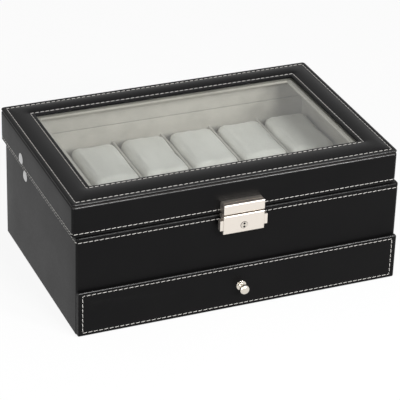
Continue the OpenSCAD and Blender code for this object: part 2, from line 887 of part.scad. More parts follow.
base_felt();
base_panel();
side_panel_left();
side_panel_right();
back_panel();
front_panel();
tray_floor();
case_cover();
tray_lining();
long_divider();
cross_divider(1);  // cross_divider_1
cross_divider(2);  // cross_divider_2
cross_divider(3);  // cross_divider_3
cross_divider(4);  // cross_divider_4
cross_divider(5);  // cross_divider_5
cushion(-1, 1);  // cushion_front_1
cushion(-1, 2);  // cushion_front_2
cushion(-1, 3);  // cushion_front_3
cushion(-1, 4);  // cushion_front_4
cushion(-1, 5);  // cushion_front_5
cushion(-1, 6);  // cushion_front_6
cushion(1, 1);  // cushion_back_1
cushion(1, 2);  // cushion_back_2
cushion(1, 3);  // cushion_back_3
cushion(1, 4);  // cushion_back_4
cushion(1, 5);  // cushion_back_5
cushion(1, 6);  // cushion_back_6
hinge_leaves_case();
hinge_pins();
hinge_leaves_lid();
lid_panel_front();
lid_panel_back();
lid_panel_left();
lid_panel_right();
lid_cover();
lid_top_frame();
lid_glass();
lid_window_frame();
lid_lining();
stay_stud_case();
stay_stud_lid();
stay_arm_lower();
stay_arm_upper();
stay_elbow_rivet();
hasp();
lock_housing();
lock_springs();
lock_button_left();
lock_button_right();
lock_plug();
drawer_front();
drawer_front_cover();
drawer_side_left();
drawer_side_right();
drawer_back();
drawer_bottom();
drawer_lining();
drawer_knob();
knob_screw();
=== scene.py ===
"""A watch box covered in black leatherette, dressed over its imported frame.

The case holds a velvet tray with twelve cushions, the lid carries a glazed and padded
frame, and a drawer slides under the tray.  +X is to the right, -Y to the front and
+Z up.  Objects are in metres; rings, rims and profiles are in millimetres.
"""

import logging
import math
from collections.abc import Sequence
from dataclasses import dataclass, field
from enum import Enum
from functools import cached_property
from typing import ClassVar

import bpy
import numpy as np
from mathutils import Matrix, Vector


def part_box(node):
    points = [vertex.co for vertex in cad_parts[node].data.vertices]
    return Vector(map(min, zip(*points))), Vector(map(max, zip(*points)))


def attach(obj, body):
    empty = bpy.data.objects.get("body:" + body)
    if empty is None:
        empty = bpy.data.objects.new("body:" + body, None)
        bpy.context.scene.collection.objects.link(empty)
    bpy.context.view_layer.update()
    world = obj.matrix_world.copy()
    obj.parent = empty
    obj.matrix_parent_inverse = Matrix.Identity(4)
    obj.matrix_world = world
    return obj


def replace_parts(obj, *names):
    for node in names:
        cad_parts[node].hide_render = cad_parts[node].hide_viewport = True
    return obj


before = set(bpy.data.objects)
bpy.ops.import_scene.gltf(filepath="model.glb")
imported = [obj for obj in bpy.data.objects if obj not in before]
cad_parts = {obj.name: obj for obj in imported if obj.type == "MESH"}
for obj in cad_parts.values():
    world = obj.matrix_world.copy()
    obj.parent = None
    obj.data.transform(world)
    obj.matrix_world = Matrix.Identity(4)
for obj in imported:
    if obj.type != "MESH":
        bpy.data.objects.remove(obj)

MM = 0.001
LOG = logging.getLogger("watch_box")
FULL_TURN = 2 * math.pi
SHARP = math.radians(50)
LEAST_R = 0.35
Colour = tuple[float, float, float]
WHITE = (1.0, 1.0, 1.0, 1.0)


class Body(str, Enum):
    """The moving bodies that a piece can ride on."""

    CASE = "case"
    LID = "lid"
    DRAWER = "drawer"
    PLUG = "key_plug"


class Weave(Enum):
    """How a cloth is made, with the depth of its fibres in metres."""

    PILE = 0.22 * MM
    FELT = 0.4 * MM


# ---- Shader graphs written as expressions ----


class Signal:
    """An output socket that adds a Math node when it is used in an expression."""

    def __init__(self, graph: "Graph", socket: bpy.types.NodeSocket) -> None:
        """Wraps a socket.

        Args:
            graph: The graph that the socket belongs to.
            socket: The output socket to wrap.
        """
        self.graph = graph
        self.socket = socket

    def __add__(self, other: "Signal | float") -> "Signal":
        """Sum of two signals."""
        return self.graph.maths("ADD", self, other)

    def __radd__(self, other: float) -> "Signal":
        """Sum with a number in front."""
        return self.graph.maths("ADD", other, self)

    def __sub__(self, other: "Signal | float") -> "Signal":
        """Difference of two signals."""
        return self.graph.maths("SUBTRACT", self, other)

    def __rsub__(self, other: float) -> "Signal":
        """A number less this signal."""
        return self.graph.maths("SUBTRACT", other, self)

    def __mul__(self, other: "Signal | float") -> "Signal":
        """Product of two signals."""
        return self.graph.maths("MULTIPLY", self, other)

    def __rmul__(self, other: float) -> "Signal":
        """Product with a number in front."""
        return self.graph.maths("MULTIPLY", other, self)

    def __pow__(self, other: float) -> "Signal":
        """This signal raised to a power."""
        return self.graph.maths("POWER", self, other)

    def clipped(self, low: float, high: float) -> "Signal":
        """Smooth step from 0 at low to 1 at high.

        Args:
            low: The value that becomes 0.
            high: The value that becomes 1.

        Returns:
            The stepped signal.
        """
        return self.graph.read(
            "ShaderNodeMapRange",
            {"interpolation_type": "SMOOTHSTEP"},
            {"Value": self, "From Min": low, "From Max": high},
            "Result",
        )


Value = Signal | float | Sequence[float]


class Graph:
    """The node tree of a material or a world, built from calls and expressions."""

    def __init__(self, owner: bpy.types.Material | bpy.types.World) -> None:
        """Starts with an empty tree.

        Args:
            owner: The material or world to build.
        """
        owner.use_nodes = True
        self.tree = owner.node_tree
        self.tree.nodes.clear()

    def node(
        self,
        kind: str,
        settings: dict[str, object] | None = None,
        values: dict[str | int, Value] | None = None,
    ) -> bpy.types.Node:
        """Adds a node, sets it up and fills its sockets.

        Args:
            kind: The node's type name.
            settings: Properties set before the sockets are filled.
            values: Numbers, colours or signals for the input sockets.

        Returns:
            The new node.
        """
        made = self.tree.nodes.new(kind)
        for key, setting in (settings or {}).items():
            setattr(made, key, setting)
        for key, value in (values or {}).items():
            socket = made.inputs[key]
            if isinstance(value, Signal):
                self.tree.links.new(value.socket, socket)
            else:
                socket.default_value = value
        return made

    def read(
        self,
        kind: str,
        settings: dict[str, object] | None = None,
        values: dict[str | int, Value] | None = None,
        output: str | int = 0,
    ) -> Signal:
        """Adds a node and returns one of its outputs.

        Args:
            kind: The node's type name.
            settings: Properties set before the sockets are filled.
            values: Numbers, colours or signals for the input sockets.
            output: Name or number of the output socket.

        Returns:
            The output as a signal.
        """
        return Signal(self, self.node(kind, settings, values).outputs[output])

    def maths(self, operation: str, *terms: "Signal | float") -> Signal:
        """One Math node on the given terms."""
        return self.read(
            "ShaderNodeMath", {"operation": operation}, dict(enumerate(terms))
        )

    @cached_property
    def place(self) -> Signal:
        """Position on the piece in metres."""
        return self.read("ShaderNodeTexCoord", output="Object")

    def stretched(self, scale: Sequence[float]) -> Signal:
        """Position with each axis multiplied by its own factor.

        Args:
            scale: Factors for X, Y and Z.

        Returns:
            The stretched position.
        """
        return self.read(
            "ShaderNodeMapping", values={"Vector": self.place, "Scale": scale}
        )

    def noise(
        self,
        size: float,
        detail: float = 3.0,
        rough: float = 0.55,
        at: Signal | None = None,
    ) -> Signal:
        """Cloudy noise from 0 to 1.

        Args:
            size: Width of one cloud in metres.
            detail: How many finer layers are added.
            rough: Strength of the finer layers.
            at: Position to read, or the place on the piece.

        Returns:
            The noise value.
        """
        return self.read(
            "ShaderNodeTexNoise",
            {},
            {
                "Vector": at or self.place,
                "Scale": 1 / size,
                "Detail": detail,
                "Roughness": rough,
            },
            "Fac",
        )

    def cells(self, size: float, feature: str = "F1") -> Signal:
        """Distance to the nearest of many scattered points.

        Args:
            size: Mean width of a cell in metres.
            feature: Which distance is measured.

        Returns:
            The distance, in cell widths.
        """
        return self.read(
            "ShaderNodeTexVoronoi",
            {"feature": feature},
            {"Vector": self.place, "Scale": 1 / size},
            "Distance",
        )

    def tone(self, share: Signal, low: Colour, high: Colour) -> Signal:
        """A colour between two others.

        Args:
            share: 0 for the first colour and 1 for the second.
            low: The first colour.
            high: The second colour.

        Returns:
            The mixed colour.
        """
        return self.blend(share, (*low, 1.0), (*high, 1.0))

    def blend(self, share: Signal, low: Value, high: Value) -> Signal:
        """A mix of two colours, each of which may be a signal."""
        mixer = self.node(
            "ShaderNodeMix", {"data_type": "RGBA"}, {0: share, 6: low, 7: high}
        )
        return Signal(self, mixer.outputs[2])

    def attribute(self, name: str) -> Signal:
        """A value stored on the mesh's points, or 0 where there is none."""
        return self.read("ShaderNodeAttribute", {"attribute_name": name}, output="Fac")

    def bumped(self, height: Signal, depth: float, strength: float = 1.0) -> Signal:
        """Normal of a surface with small relief.

        Args:
            height: The relief from 0 to 1.
            depth: Height of the relief in metres.
            strength: Share of the relief that shows.

        Returns:
            The bent normal.
        """
        return self.read(
            "ShaderNodeBump",
            values={"Height": height, "Distance": depth, "Strength": strength},
        )

    def surface(self, values: dict[str, Value]) -> Signal:
        """A Principled shader with the given sockets."""
        return self.read("ShaderNodeBsdfPrincipled", values=values)

    def mixed(self, share: Signal, low: Signal, high: Signal) -> Signal:
        """A shader between two others."""
        return self.read("ShaderNodeMixShader", values={0: share, 1: low, 2: high})

    def seen(self) -> Signal:
        """1 for rays of sight, mirrors and glass, and 0 for the rays of light."""
        path = self.node("ShaderNodeLightPath")
        sight, mirror, glass = (
            Signal(self, path.outputs[f"Is {kind} Ray"])
            for kind in ("Camera", "Glossy", "Transmission")
        )
        return self.maths("MAXIMUM", sight, self.maths("MAXIMUM", mirror, glass))


# ---- Finishes ----


@dataclass(frozen=True)
class Finish:
    """A surface finish that becomes one material."""

    name: str
    made: ClassVar[dict[str, bpy.types.Material]] = {}

    def shade(self, graph: Graph) -> Signal:
        """Builds the shader on an empty graph."""
        raise NotImplementedError

    def material(self) -> bpy.types.Material:
        """The material of this finish, made once."""
        if self.name not in Finish.made:
            made = bpy.data.materials.new(self.name)
            graph = Graph(made)
            graph.node("ShaderNodeOutputMaterial", values={"Surface": self.shade(graph)})
            Finish.made[self.name] = made
        return Finish.made[self.name]


@dataclass(frozen=True)
class Leatherette(Finish):
    """Smooth coated leatherette with a fine pebble grain, and edges lightened by wear and by a
    painted highlight.
    """

    colour: Colour = (0.0024, 0.0023, 0.0025)
    wear_and_highlight_colour: Colour = (0.030, 0.029, 0.028)
    grain: float = 0.85 * MM
    roughness: float = 0.40
    gloss: float = 0.087
    crease: float = 2.4
    patch: float = 34 * MM
    relief_h: float = 0.065 * MM
    worn_coat: float = 0.8

    def shade(self, graph: Graph) -> Signal:
        """Pebbles with creases between them, soft unevenness, and edges lightened by wear and a
        painted highlight.
        """
        pebbles = graph.cells(self.grain, "SMOOTH_F1")
        creases = graph.noise(self.crease * self.grain, 4, 0.6)
        drift = graph.noise(self.patch, 2, 0.5)
        edge = graph.attribute("edge")
        # Edge mask: wear, and where a painted highlight lightens the round edges
        wear_and_highlight = (edge * (0.45 + creases)).clipped(0.25, 1.1)
        relief = 0.55 * (1 - pebbles) + 0.45 * creases
        return graph.surface(
            {
                # The lighter edge colour is partly wear and partly a painted highlight
                "Base Color": graph.tone(
                    0.4 * wear_and_highlight + 0.04 * drift, self.colour, self.wear_and_highlight_colour
                ),
                "Roughness": self.roughness
                + 0.09 * (drift - 0.5)
                + 0.10 * (creases - 0.5)
                - 0.12 * wear_and_highlight,
                "Specular IOR Level": self.gloss,
                "Coat Weight": self.worn_coat * wear_and_highlight,
                "Coat Roughness": 0.24,
                "Normal": graph.bumped(relief, self.relief_h, 0.5),
            }
        )


@dataclass(frozen=True)
class Velvet(Finish):
    """Short pile fabric with brushed patches, fibres and soft folds along X."""

    colour: Colour = (0.51, 0.479, 0.427)
    shade_colour: Colour = (0.41, 0.384, 0.34)
    weave: Weave = Weave.PILE
    fibre: float = 0.55 * MM
    sheen: float = 0.25
    folds: float = 1.6
    nap_w: float = 19 * MM
    fold_w: float = 6.5 * MM

    def shade(self, graph: Graph) -> Signal:
        """Slow nap marks, fine fibres, and painted shade in the seams' creases."""
        streak = graph.stretched((1.0, 0.45, 1.0))
        nap = graph.noise(self.nap_w, 3, 0.55, at=streak)
        fibres = graph.noise(self.fibre, 2, 0.7)
        tufts = graph.cells(1.6 * self.fibre)
        folds = graph.noise(self.fold_w, 1, 0.5, at=graph.stretched((0.05, 1.0, 1.0)))
        seam = graph.attribute("seam")
        # The seam value darkens the colour: painted shade in the seam's crease
        share = 0.75 * nap.clipped(0.3, 0.75) + 0.35 * (1 - fibres) + 0.5 * seam
        return graph.surface(
            {
                "Base Color": graph.tone(share, self.colour, self.shade_colour),
                "Roughness": 0.86 + 0.12 * (fibres - 0.5),
                "Specular IOR Level": 0.15,
                "Sheen Weight": self.sheen,
                "Sheen Roughness": 0.4,
                "Normal": graph.bumped(
                    fibres + 0.5 * tufts + self.folds * folds, self.weave.value, 0.5
                ),
            }
        )


@dataclass(frozen=True)
class Metal(Finish):
    """Plated or plain metal."""

    colour: Colour = (0.72, 0.68, 0.61)
    brushed: bool = False
    roughness: float = 0.27
    stain_w: float = 7 * MM

    def shade(self, graph: Graph) -> Signal:
        """Brushed streaks along X, or a soft orange peel, with faint stains."""
        stain = graph.noise(self.stain_w, 3, 0.6)
        if self.brushed:
            along = graph.stretched((0.06, 1.0, 1.0))
            texture, depth = graph.noise(0.16 * MM, 2, 0.6, at=along), 0.010 * MM
        else:
            texture, depth = graph.noise(0.9 * MM, 2, 0.5), 0.006 * MM
        dull = tuple(0.86 * part for part in self.colour)
        return graph.surface(
            {
                "Base Color": graph.tone(
                    0.5 * stain + 0.3 * texture, self.colour, dull
                ),
                "Metallic": 1.0,
                "Roughness": self.roughness
                + 0.10 * (stain - 0.5)
                + 0.08 * (texture - 0.5),
                "Normal": graph.bumped(texture, depth, 0.6),
            }
        )


@dataclass(frozen=True)
class Thread(Finish):
    """Two-ply sewing thread, twisted along its length."""

    colour: Colour = (0.73, 0.71, 0.675)
    shadow: Colour = (0.42, 0.405, 0.385)

    def shade(self, graph: Graph) -> Signal:
        """Slanted plies read from the thread's own map."""
        along = graph.read("ShaderNodeUVMap", {"uv_map": "ply"})
        plies = graph.read(
            "ShaderNodeTexWave",
            {"bands_direction": "DIAGONAL"},
            {"Vector": along, "Scale": 1.3, "Distortion": 0.6, "Detail": 1.0},
            "Fac",
        )
        fuzz = graph.noise(0.3 * MM, 2, 0.6)
        return graph.surface(
            {
                "Base Color": graph.tone(
                    0.55 * (1 - plies) + 0.35 * fuzz, self.colour, self.shadow
                ),
                "Roughness": 0.72 + 0.12 * (fuzz - 0.5),
                "Specular IOR Level": 0.3,
                "Sheen Weight": 0.15,
                "Normal": graph.bumped(plies, 0.08 * MM, 0.8),
            }
        )


@dataclass(frozen=True)
class Fibreboard(Finish):
    """Pressed board wrapped in dark grained paper."""

    colour: Colour = (0.020, 0.018, 0.017)
    light: Colour = (0.045, 0.040, 0.036)

    def shade(self, graph: Graph) -> Signal:
        """Long paper fibres over a faint pressed grain."""
        along = graph.stretched((0.25, 1.0, 1.0))
        fibres = graph.noise(0.8 * MM, 4, 0.65, at=along)
        clouds = graph.noise(16 * MM, 2, 0.5)
        return graph.surface(
            {
                "Base Color": graph.tone(
                    0.6 * fibres + 0.3 * clouds, self.colour, self.light
                ),
                "Roughness": 0.66 + 0.16 * (fibres - 0.5),
                "Specular IOR Level": 0.35,
                "Normal": graph.bumped(fibres, 0.05 * MM, 0.6),
            }
        )


@dataclass(frozen=True)
class Pane(Finish):
    """Clear window glass that mirrors a little of the room."""

    tint: Colour = (0.935, 0.945, 0.94)
    mirror: float = 0.014
    smear_w: float = 26 * MM

    def shade(self, graph: Graph) -> Signal:
        """A clear shader mixed with a mirror by the angle of view and faint smears.

        The mirror's share is m + (1 - m) times the fifth power of the facing slope,
        the same for a ray that comes in and for one that goes out.
        """
        smear = graph.noise(self.smear_w, 3, 0.6)
        clear = graph.read(
            "ShaderNodeBsdfTransparent", values={"Color": (*self.tint, 1.0)}
        )
        gloss = graph.read(
            "ShaderNodeBsdfGlossy",
            values={"Color": WHITE, "Roughness": 0.03},
        )
        slope = graph.read("ShaderNodeLayerWeight", values={"Blend": 0.5}, output="Facing")
        share = self.mirror + (1 - self.mirror) * slope**5
        share = share * (0.85 + 0.3 * smear)
        return graph.mixed(share, clear, gloss)


@dataclass(frozen=True)
class Tabletop(Finish):
    """Plain white table that stays white behind the object and keeps its shadow."""

    colour: Colour = (0.92, 0.92, 0.92)
    lift: float = 0.9

    def shade(self, graph: Graph) -> Signal:
        """White paper, lifted to white for sight and mirrors but not for light."""
        tooth = graph.noise(3 * MM, 2, 0.5)
        paper = graph.surface(
            {
                "Base Color": (*self.colour, 1.0),
                "Roughness": 0.9 + 0.05 * tooth,
                "Specular IOR Level": 0.1,
            }
        )
        white = graph.read("ShaderNodeEmission", values={"Strength": 1.0})
        return graph.mixed(self.lift * graph.seen(), paper, white)


LEATHER = Leatherette("black_leatherette")
LINING = Velvet("beige_velvet")
DIVIDER = Velvet(
    "divider_cloth",
    colour=(0.58, 0.56, 0.51),
    shade_colour=(0.47, 0.45, 0.41),
    folds=0.0,
)
CUSHION = Velvet(
    "cushion_pile",
    colour=(0.80, 0.785, 0.735),
    shade_colour=(0.69, 0.675, 0.625),
    fibre=0.65 * MM,
    sheen=0.35,
    folds=0.4,
)
FELT = Velvet(
    "black_felt",
    colour=(0.030, 0.030, 0.033),
    shade_colour=(0.015, 0.015, 0.017),
    weave=Weave.FELT,
    fibre=0.9 * MM,
    sheen=0.1,
    folds=0.0,
)
SATIN = Metal("brushed_nickel", (0.80, 0.74, 0.67), brushed=True, roughness=0.40)
STUD = Metal("stud_nickel", (0.52, 0.52, 0.52), roughness=0.3)
MIRROR = Metal("bright_nickel", (0.74, 0.69, 0.61), roughness=0.12)
STEEL = Metal("plain_steel", (0.56, 0.56, 0.57), roughness=0.33)
# Near-black metal used as painted shade in the keyholes and as painted shadow round the collar
PAINTED_SHADE = Metal("painted_shade_black", (0.012, 0.012, 0.013), roughness=0.55)
THREAD = Thread("thread")
BOARD = Fibreboard("fibreboard")
GLASS = Pane("clear_glass")
TABLE = Tabletop("tabletop")


# ---- Surfaces worked out as arrays ----


def grid_faces(rows: int, columns: int, round_rows: bool, round_columns: bool) -> np.ndarray:
    """Quads of a grid whose point (r, c) has the number r * columns + c.

    Args:
        rows: Number of rows.
        columns: Number of columns.
        round_rows: Whether the last row joins the first.
        round_columns: Whether the last column joins the first.

    Returns:
        Faces as rows of four point numbers.
    """
    r = np.arange(rows if round_rows else rows - 1)[:, None]
    c = np.arange(columns if round_columns else columns - 1)[None, :]
    r2, c2 = (r + 1) % rows, (c + 1) % columns
    quad = [r * columns + c, r * columns + c2, r2 * columns + c2, r2 * columns + c]
    return np.stack(np.broadcast_arrays(*quad), axis=-1).reshape(-1, 4)


def tube_faces(rows: int, columns: int, looped: bool = False) -> list[list[int]]:
    """Faces through a row of rings, with a cap at both ends unless they are looped.

    Args:
        rows: Number of rings.
        columns: Number of points in each ring.
        looped: Whether the last ring joins the first.

    Returns:
        The faces.
    """
    faces = grid_faces(rows, columns, looped, True).tolist()
    if not looped:
        faces.append(list(range(columns))[::-1])
        faces.append([(rows - 1) * columns + c for c in range(columns)])
    return faces


def added(name: str, data: bpy.types.ID) -> bpy.types.Object:
    """A new object of the scene with the given data."""
    made = bpy.data.objects.new(name, data)
    bpy.context.scene.collection.objects.link(made)
    return made


def arc(steps: int, start: float, end: float) -> np.ndarray:
    """Cosines and sines of evenly spaced angles.

    Args:
        steps: Number of steps between the two ends.
        start: First angle in degrees.
        end: Last angle in degrees.

    Returns:
        Rows of cosine and sine.
    """
    angle = np.radians(np.linspace(start, end, steps + 1))
    return np.stack([np.cos(angle), np.sin(angle)], axis=1)


@dataclass
class Shape:
    """Points, faces and point values of one surface."""

    points: np.ndarray
    faces: list[Sequence[int]]
    values: dict[str, np.ndarray] = field(default_factory=dict)
    plies: np.ndarray | None = None

    @classmethod
    def joined(cls, parts: Sequence["Shape"]) -> "Shape":
        """Several shapes as one.

        Args:
            parts: The shapes to put together.

        Returns:
            One shape with all points and faces.
        """
        starts = np.cumsum([0] + [len(part.points) for part in parts])
        faces = [
            [int(i) + int(start) for i in face]
            for part, start in zip(parts, starts)
            for face in part.faces
        ]
        names = {name for part in parts for name in part.values}
        values = {
            name: np.concatenate(
                [p.values.get(name, np.zeros(len(p.points))) for p in parts]
            )
            for name in names
        }
        plies = None
        if all(part.plies is not None for part in parts):
            plies = np.concatenate([part.plies for part in parts])
        return cls(np.concatenate([p.points for p in parts]), faces, values, plies)

    def piece(
        self, name: str, body: Body, finish: Finish, slot: str | None = None
    ) -> bpy.types.Object:
        """Makes the shape a smooth mesh object that rides on a body.

        Args:
            name: The piece's name.
            body: The body that it moves with.
            finish: Its surface finish.
            slot: Not used.

        Returns:
            The new object.
        """
        mesh = bpy.data.meshes.new(name)
        faces = [[int(i) for i in face] for face in self.faces]
        mesh.from_pydata(self.points.tolist(), [], faces)
        mesh.shade_smooth()
        mesh.set_sharp_from_angle(angle=SHARP)
        for key, value in self.values.items():
            stored = mesh.attributes.new(key, "FLOAT", "POINT")
            stored.data.foreach_set("value", value.astype(np.float32))
        if self.plies is not None:
            corners = np.zeros(len(mesh.loops), np.int32)
            mesh.loops.foreach_get("vertex_index", corners)
            layer = mesh.uv_layers.new(name="ply")
            layer.data.foreach_set("uv", self.plies[corners].astype(np.float32).ravel())
        mesh.validate()
        made = added(name, mesh)
        made.data.materials.append(finish.material())
        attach(made, body.value)
        LOG.info("%s: %d points, %d faces", name, len(self.points), len(faces))
        return made


@dataclass(frozen=True)
class Ring:
    """A rectangle with round corners at one height, in millimetres."""

    half_w: float
    half_d: float
    radius: float
    height: float
    # Edge wear and painted highlight on the leather
    edge: float = 0.0
    x: float = 0.0
    y: float = 0.0


@dataclass(frozen=True)
class Loft:
    """A skin through a row of rings."""

    corner_steps: int = 8
    side_steps: int = 6
    corner_wear_and_highlight: float = 0.55
    wear_and_highlight_sides: tuple[float, ...] = (0.3, 0.3, 1.0, 0.6)

    def outline(self, rings: Sequence[Ring]) -> np.ndarray:
        """Points of every ring.

        A corner is a quarter circle about (half_w - radius, half_d - radius); a side
        runs in even steps from the end of one quarter to the start of the next.

        Args:
            rings: The rings in order.

        Returns:
            An array of rings by points by X, Y and Z, in metres.
        """
        table = np.array([[r.half_w, r.half_d, r.radius, r.x, r.y, r.height] for r in rings])
        half_w, half_d, radius, x, y, height = table.T[:, :, None]
        columns = []
        for quarter in range(4):
            turn = arc(self.corner_steps, 90 * quarter, 90 * quarter + 90)
            sign_x = 1 if quarter in (0, 3) else -1
            sign_y = 1 if quarter in (0, 1) else -1
            columns.append(
                np.stack(
                    [
                        sign_x * (half_w - radius) + radius * turn[None, :, 0],
                        sign_y * (half_d - radius) + radius * turn[None, :, 1],
                    ],
                    axis=-1,
                )
            )
        loop = []
        share = np.arange(1, self.side_steps)[None, :, None] / self.side_steps
        for quarter in range(4):
            here, after = columns[quarter], columns[(quarter + 1) % 4]
            side = here[:, -1:] * (1 - share) + after[:, :1] * share
            loop += [here, side]
        flat = np.concatenate(loop, axis=1)
        flat = flat + np.stack([x, y], axis=-1)
        tall = np.broadcast_to(height[..., None], (*flat.shape[:2], 1))
        return np.concatenate([flat, tall], axis=-1) * MM

    def corners(self) -> np.ndarray:
        """1 in the middle of each corner and 0 on the sides, for every column."""
        bend = np.sin(np.linspace(0, math.pi, self.corner_steps + 1))
        return np.tile(np.concatenate([bend, np.zeros(self.side_steps - 1)]), 4)

    def wear_and_highlight_columns(self) -> np.ndarray:
        """How much edge wear and painted highlight each column gets.

        A side has the number that is given for it (back, left, front, right); a corner
        runs evenly from its one side's number to its other side's.
        """
        columns = []
        for quarter, side in enumerate(self.wear_and_highlight_sides):
            before = self.wear_and_highlight_sides[quarter - 1]
            columns.append(np.linspace(before, side, self.corner_steps + 1))
            columns.append(np.full(self.side_steps - 1, side))
        return np.concatenate(columns)

    def skin(self, rings: Sequence[Ring], closed: bool = True) -> Shape:
        """The surface through the rings.

        Args:
            rings: The rings in order; outside going up turns the faces outwards.
            closed: Whether the last ring joins the first; the ends are capped if not.

        Returns:
            The shape, with its edge wear and painted highlight in its values.
        """
        points = self.outline(rings)
        rows, columns = points.shape[:2]
        # Edge mask that lightens the leather: wear, and a painted highlight
        edge = np.array([r.edge for r in rings])[:, None]
        edge = np.maximum(edge, self.corner_wear_and_highlight * self.corners()[None, :])
        edge = edge * self.wear_and_highlight_columns()[None, :]
        faces = tube_faces(rows, columns, closed)
        return Shape(points.reshape(-1, 3), faces, {"edge": edge.ravel()})


WRAP_LOFT = Loft(8, 8)
CLOTH_LOFT = Loft(6, 10)


@dataclass(frozen=True)
class Rim:
    """A rectangle seen from above that rings keep a distance from, in millimetres."""

    half_w: float
    half_d: float
    radius: float
    x: float = 0.0
    y: float = 0.0

    @classmethod
    def of(cls, node: str, radius: float) -> "Rim":
        """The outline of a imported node.

        Args:
            node: The node's name.
            radius: Radius of its corners in millimetres.

        Returns:
            The rim.
        """
        low, high = (np.array(corner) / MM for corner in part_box(node))
        half, middle = (high - low) / 2, (high + low) / 2
        return cls(half[0], half[1], radius, middle[0], middle[1])

    def ring(
        self, inset: float, height: float, edge: float = 0.0, radius: float | None = None
    ) -> Ring:
        """The rim moved inwards.

        Args:
            inset: Distance inwards from the rim.
            height: Height of the ring.
            edge: How much edge wear and painted highlight the surface gets there.
            radius: Corner radius, or the rim's own less the inset.

        Returns:
            The ring.
        """
        bend = max(self.radius - inset, LEAST_R) if radius is None else radius
        return Ring(
            self.half_w - inset, self.half_d - inset, bend, height, edge, self.x, self.y
        )


Row = tuple[float, ...]


def rings_of(rim: Rim, *rows: Row) -> list[Ring]:
    """Rings of one rim from a table.

    Args:
        rim: The rim that they keep a distance from.
        rows: Inset and height of each ring, then its edge wear and painted highlight, and its
            radius.

    Returns:
        The rings in order.
    """
    return [rim.ring(*row) for row in rows]


def top_of(node: str) -> float:
    """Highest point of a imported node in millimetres."""
    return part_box(node)[1].z / MM


def bottom_of(node: str) -> float:
    """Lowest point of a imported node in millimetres."""
    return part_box(node)[0].z / MM


def floor_bend(rim: Rim, low: float, t: float) -> list[Ring]:
    """The round corner from a lined wall to its lined floor.

    Args:
        rim: The lining's outline.
        low: Underside of the lining's floor.
        t: Thickness of the lining.

    Returns:
        Rings from the wall to the floor.
    """
    return rings_of(
        rim,
        (t, low + 2 * t + 1.5, 0.0, 1.2),
        (t + 0.25, low + t + 0.8, 0.0, 1.3),
        (t + 0.8, low + t + 0.25, 0.0, 1.3),
        (t + 2.6, low + t, 0.0, 1.3),
    )


def valley(rim: Rim, height: float, depth: float, width: float) -> list[Ring]:
    """The hollow that a row of stitches pulls into a wall.

    The inset follows depth / (1 + (distance / width) squared) less its value at the
    hollow's ends, so it fades out smoothly.

    Args:
        rim: The wall's outline.
        height: Height of the stitches.
        depth: Depth of the hollow in its middle.
        width: Distance at which the hollow is half as deep.

    Returns:
        Rings from below the stitches to above them.
    """
    away = np.linspace(-2.2, 2.2, 9)
    fade = 1 / (1 + (away / width) ** 2)
    inset = depth * (fade - fade[0]) / (1 - fade[0])
    return [rim.ring(i, height + a) for i, a in zip(inset, away)]


# ---- Stitches ----


@dataclass(frozen=True)
class Route:
    """A closed line on a surface, with the way out of the surface at each point."""

    points: np.ndarray
    out: np.ndarray

    @classmethod
    def around(cls, rim: Rim, inset: float, height: float, flat: bool) -> "Route":
        """A line round a rim.

        Args:
            rim: The rim in millimetres.
            inset: Distance of the line inside the rim.
            height: Height of the line.
            flat: Whether the surface faces up, and not sideways.

        Returns:
            The route in metres.
        """
        line = Loft(8, 24).outline([rim.ring(inset, height)])[0]
        step = np.roll(line, -1, axis=0) - np.roll(line, 1, axis=0)
        if flat:
            out = np.tile([0.0, 0.0, 1.0], (len(line), 1))
        else:
            out = np.stack([step[:, 1], -step[:, 0], 0 * step[:, 0]], axis=1)
            out /= np.linalg.norm(out, axis=1, keepdims=True)
        return cls(line, out)

    @cached_property
    def travelled(self) -> np.ndarray:
        """Distance along the line at each point, and at the first point again."""
        loop = np.vstack([self.points, self.points[:1]])
        steps = np.linalg.norm(np.diff(loop, axis=0), axis=1)
        return np.concatenate([[0.0], np.cumsum(steps)])

    def at(self, distance: np.ndarray) -> tuple[np.ndarray, np.ndarray]:
        """Places and outward directions at distances along the line.

        Args:
            distance: Distances from the first point; they may run past the end.

        Returns:
            The places and the directions.
        """
        where = np.mod(distance, self.travelled[-1])

        def follow(values: np.ndarray) -> np.ndarray:
            """The values read at each distance, axis by axis."""
            loop = np.vstack([values, values[:1]])
            read = [np.interp(where, self.travelled, loop[:, k]) for k in range(3)]
            return np.stack(read, axis=-1)

        return follow(self.points), follow(self.out)


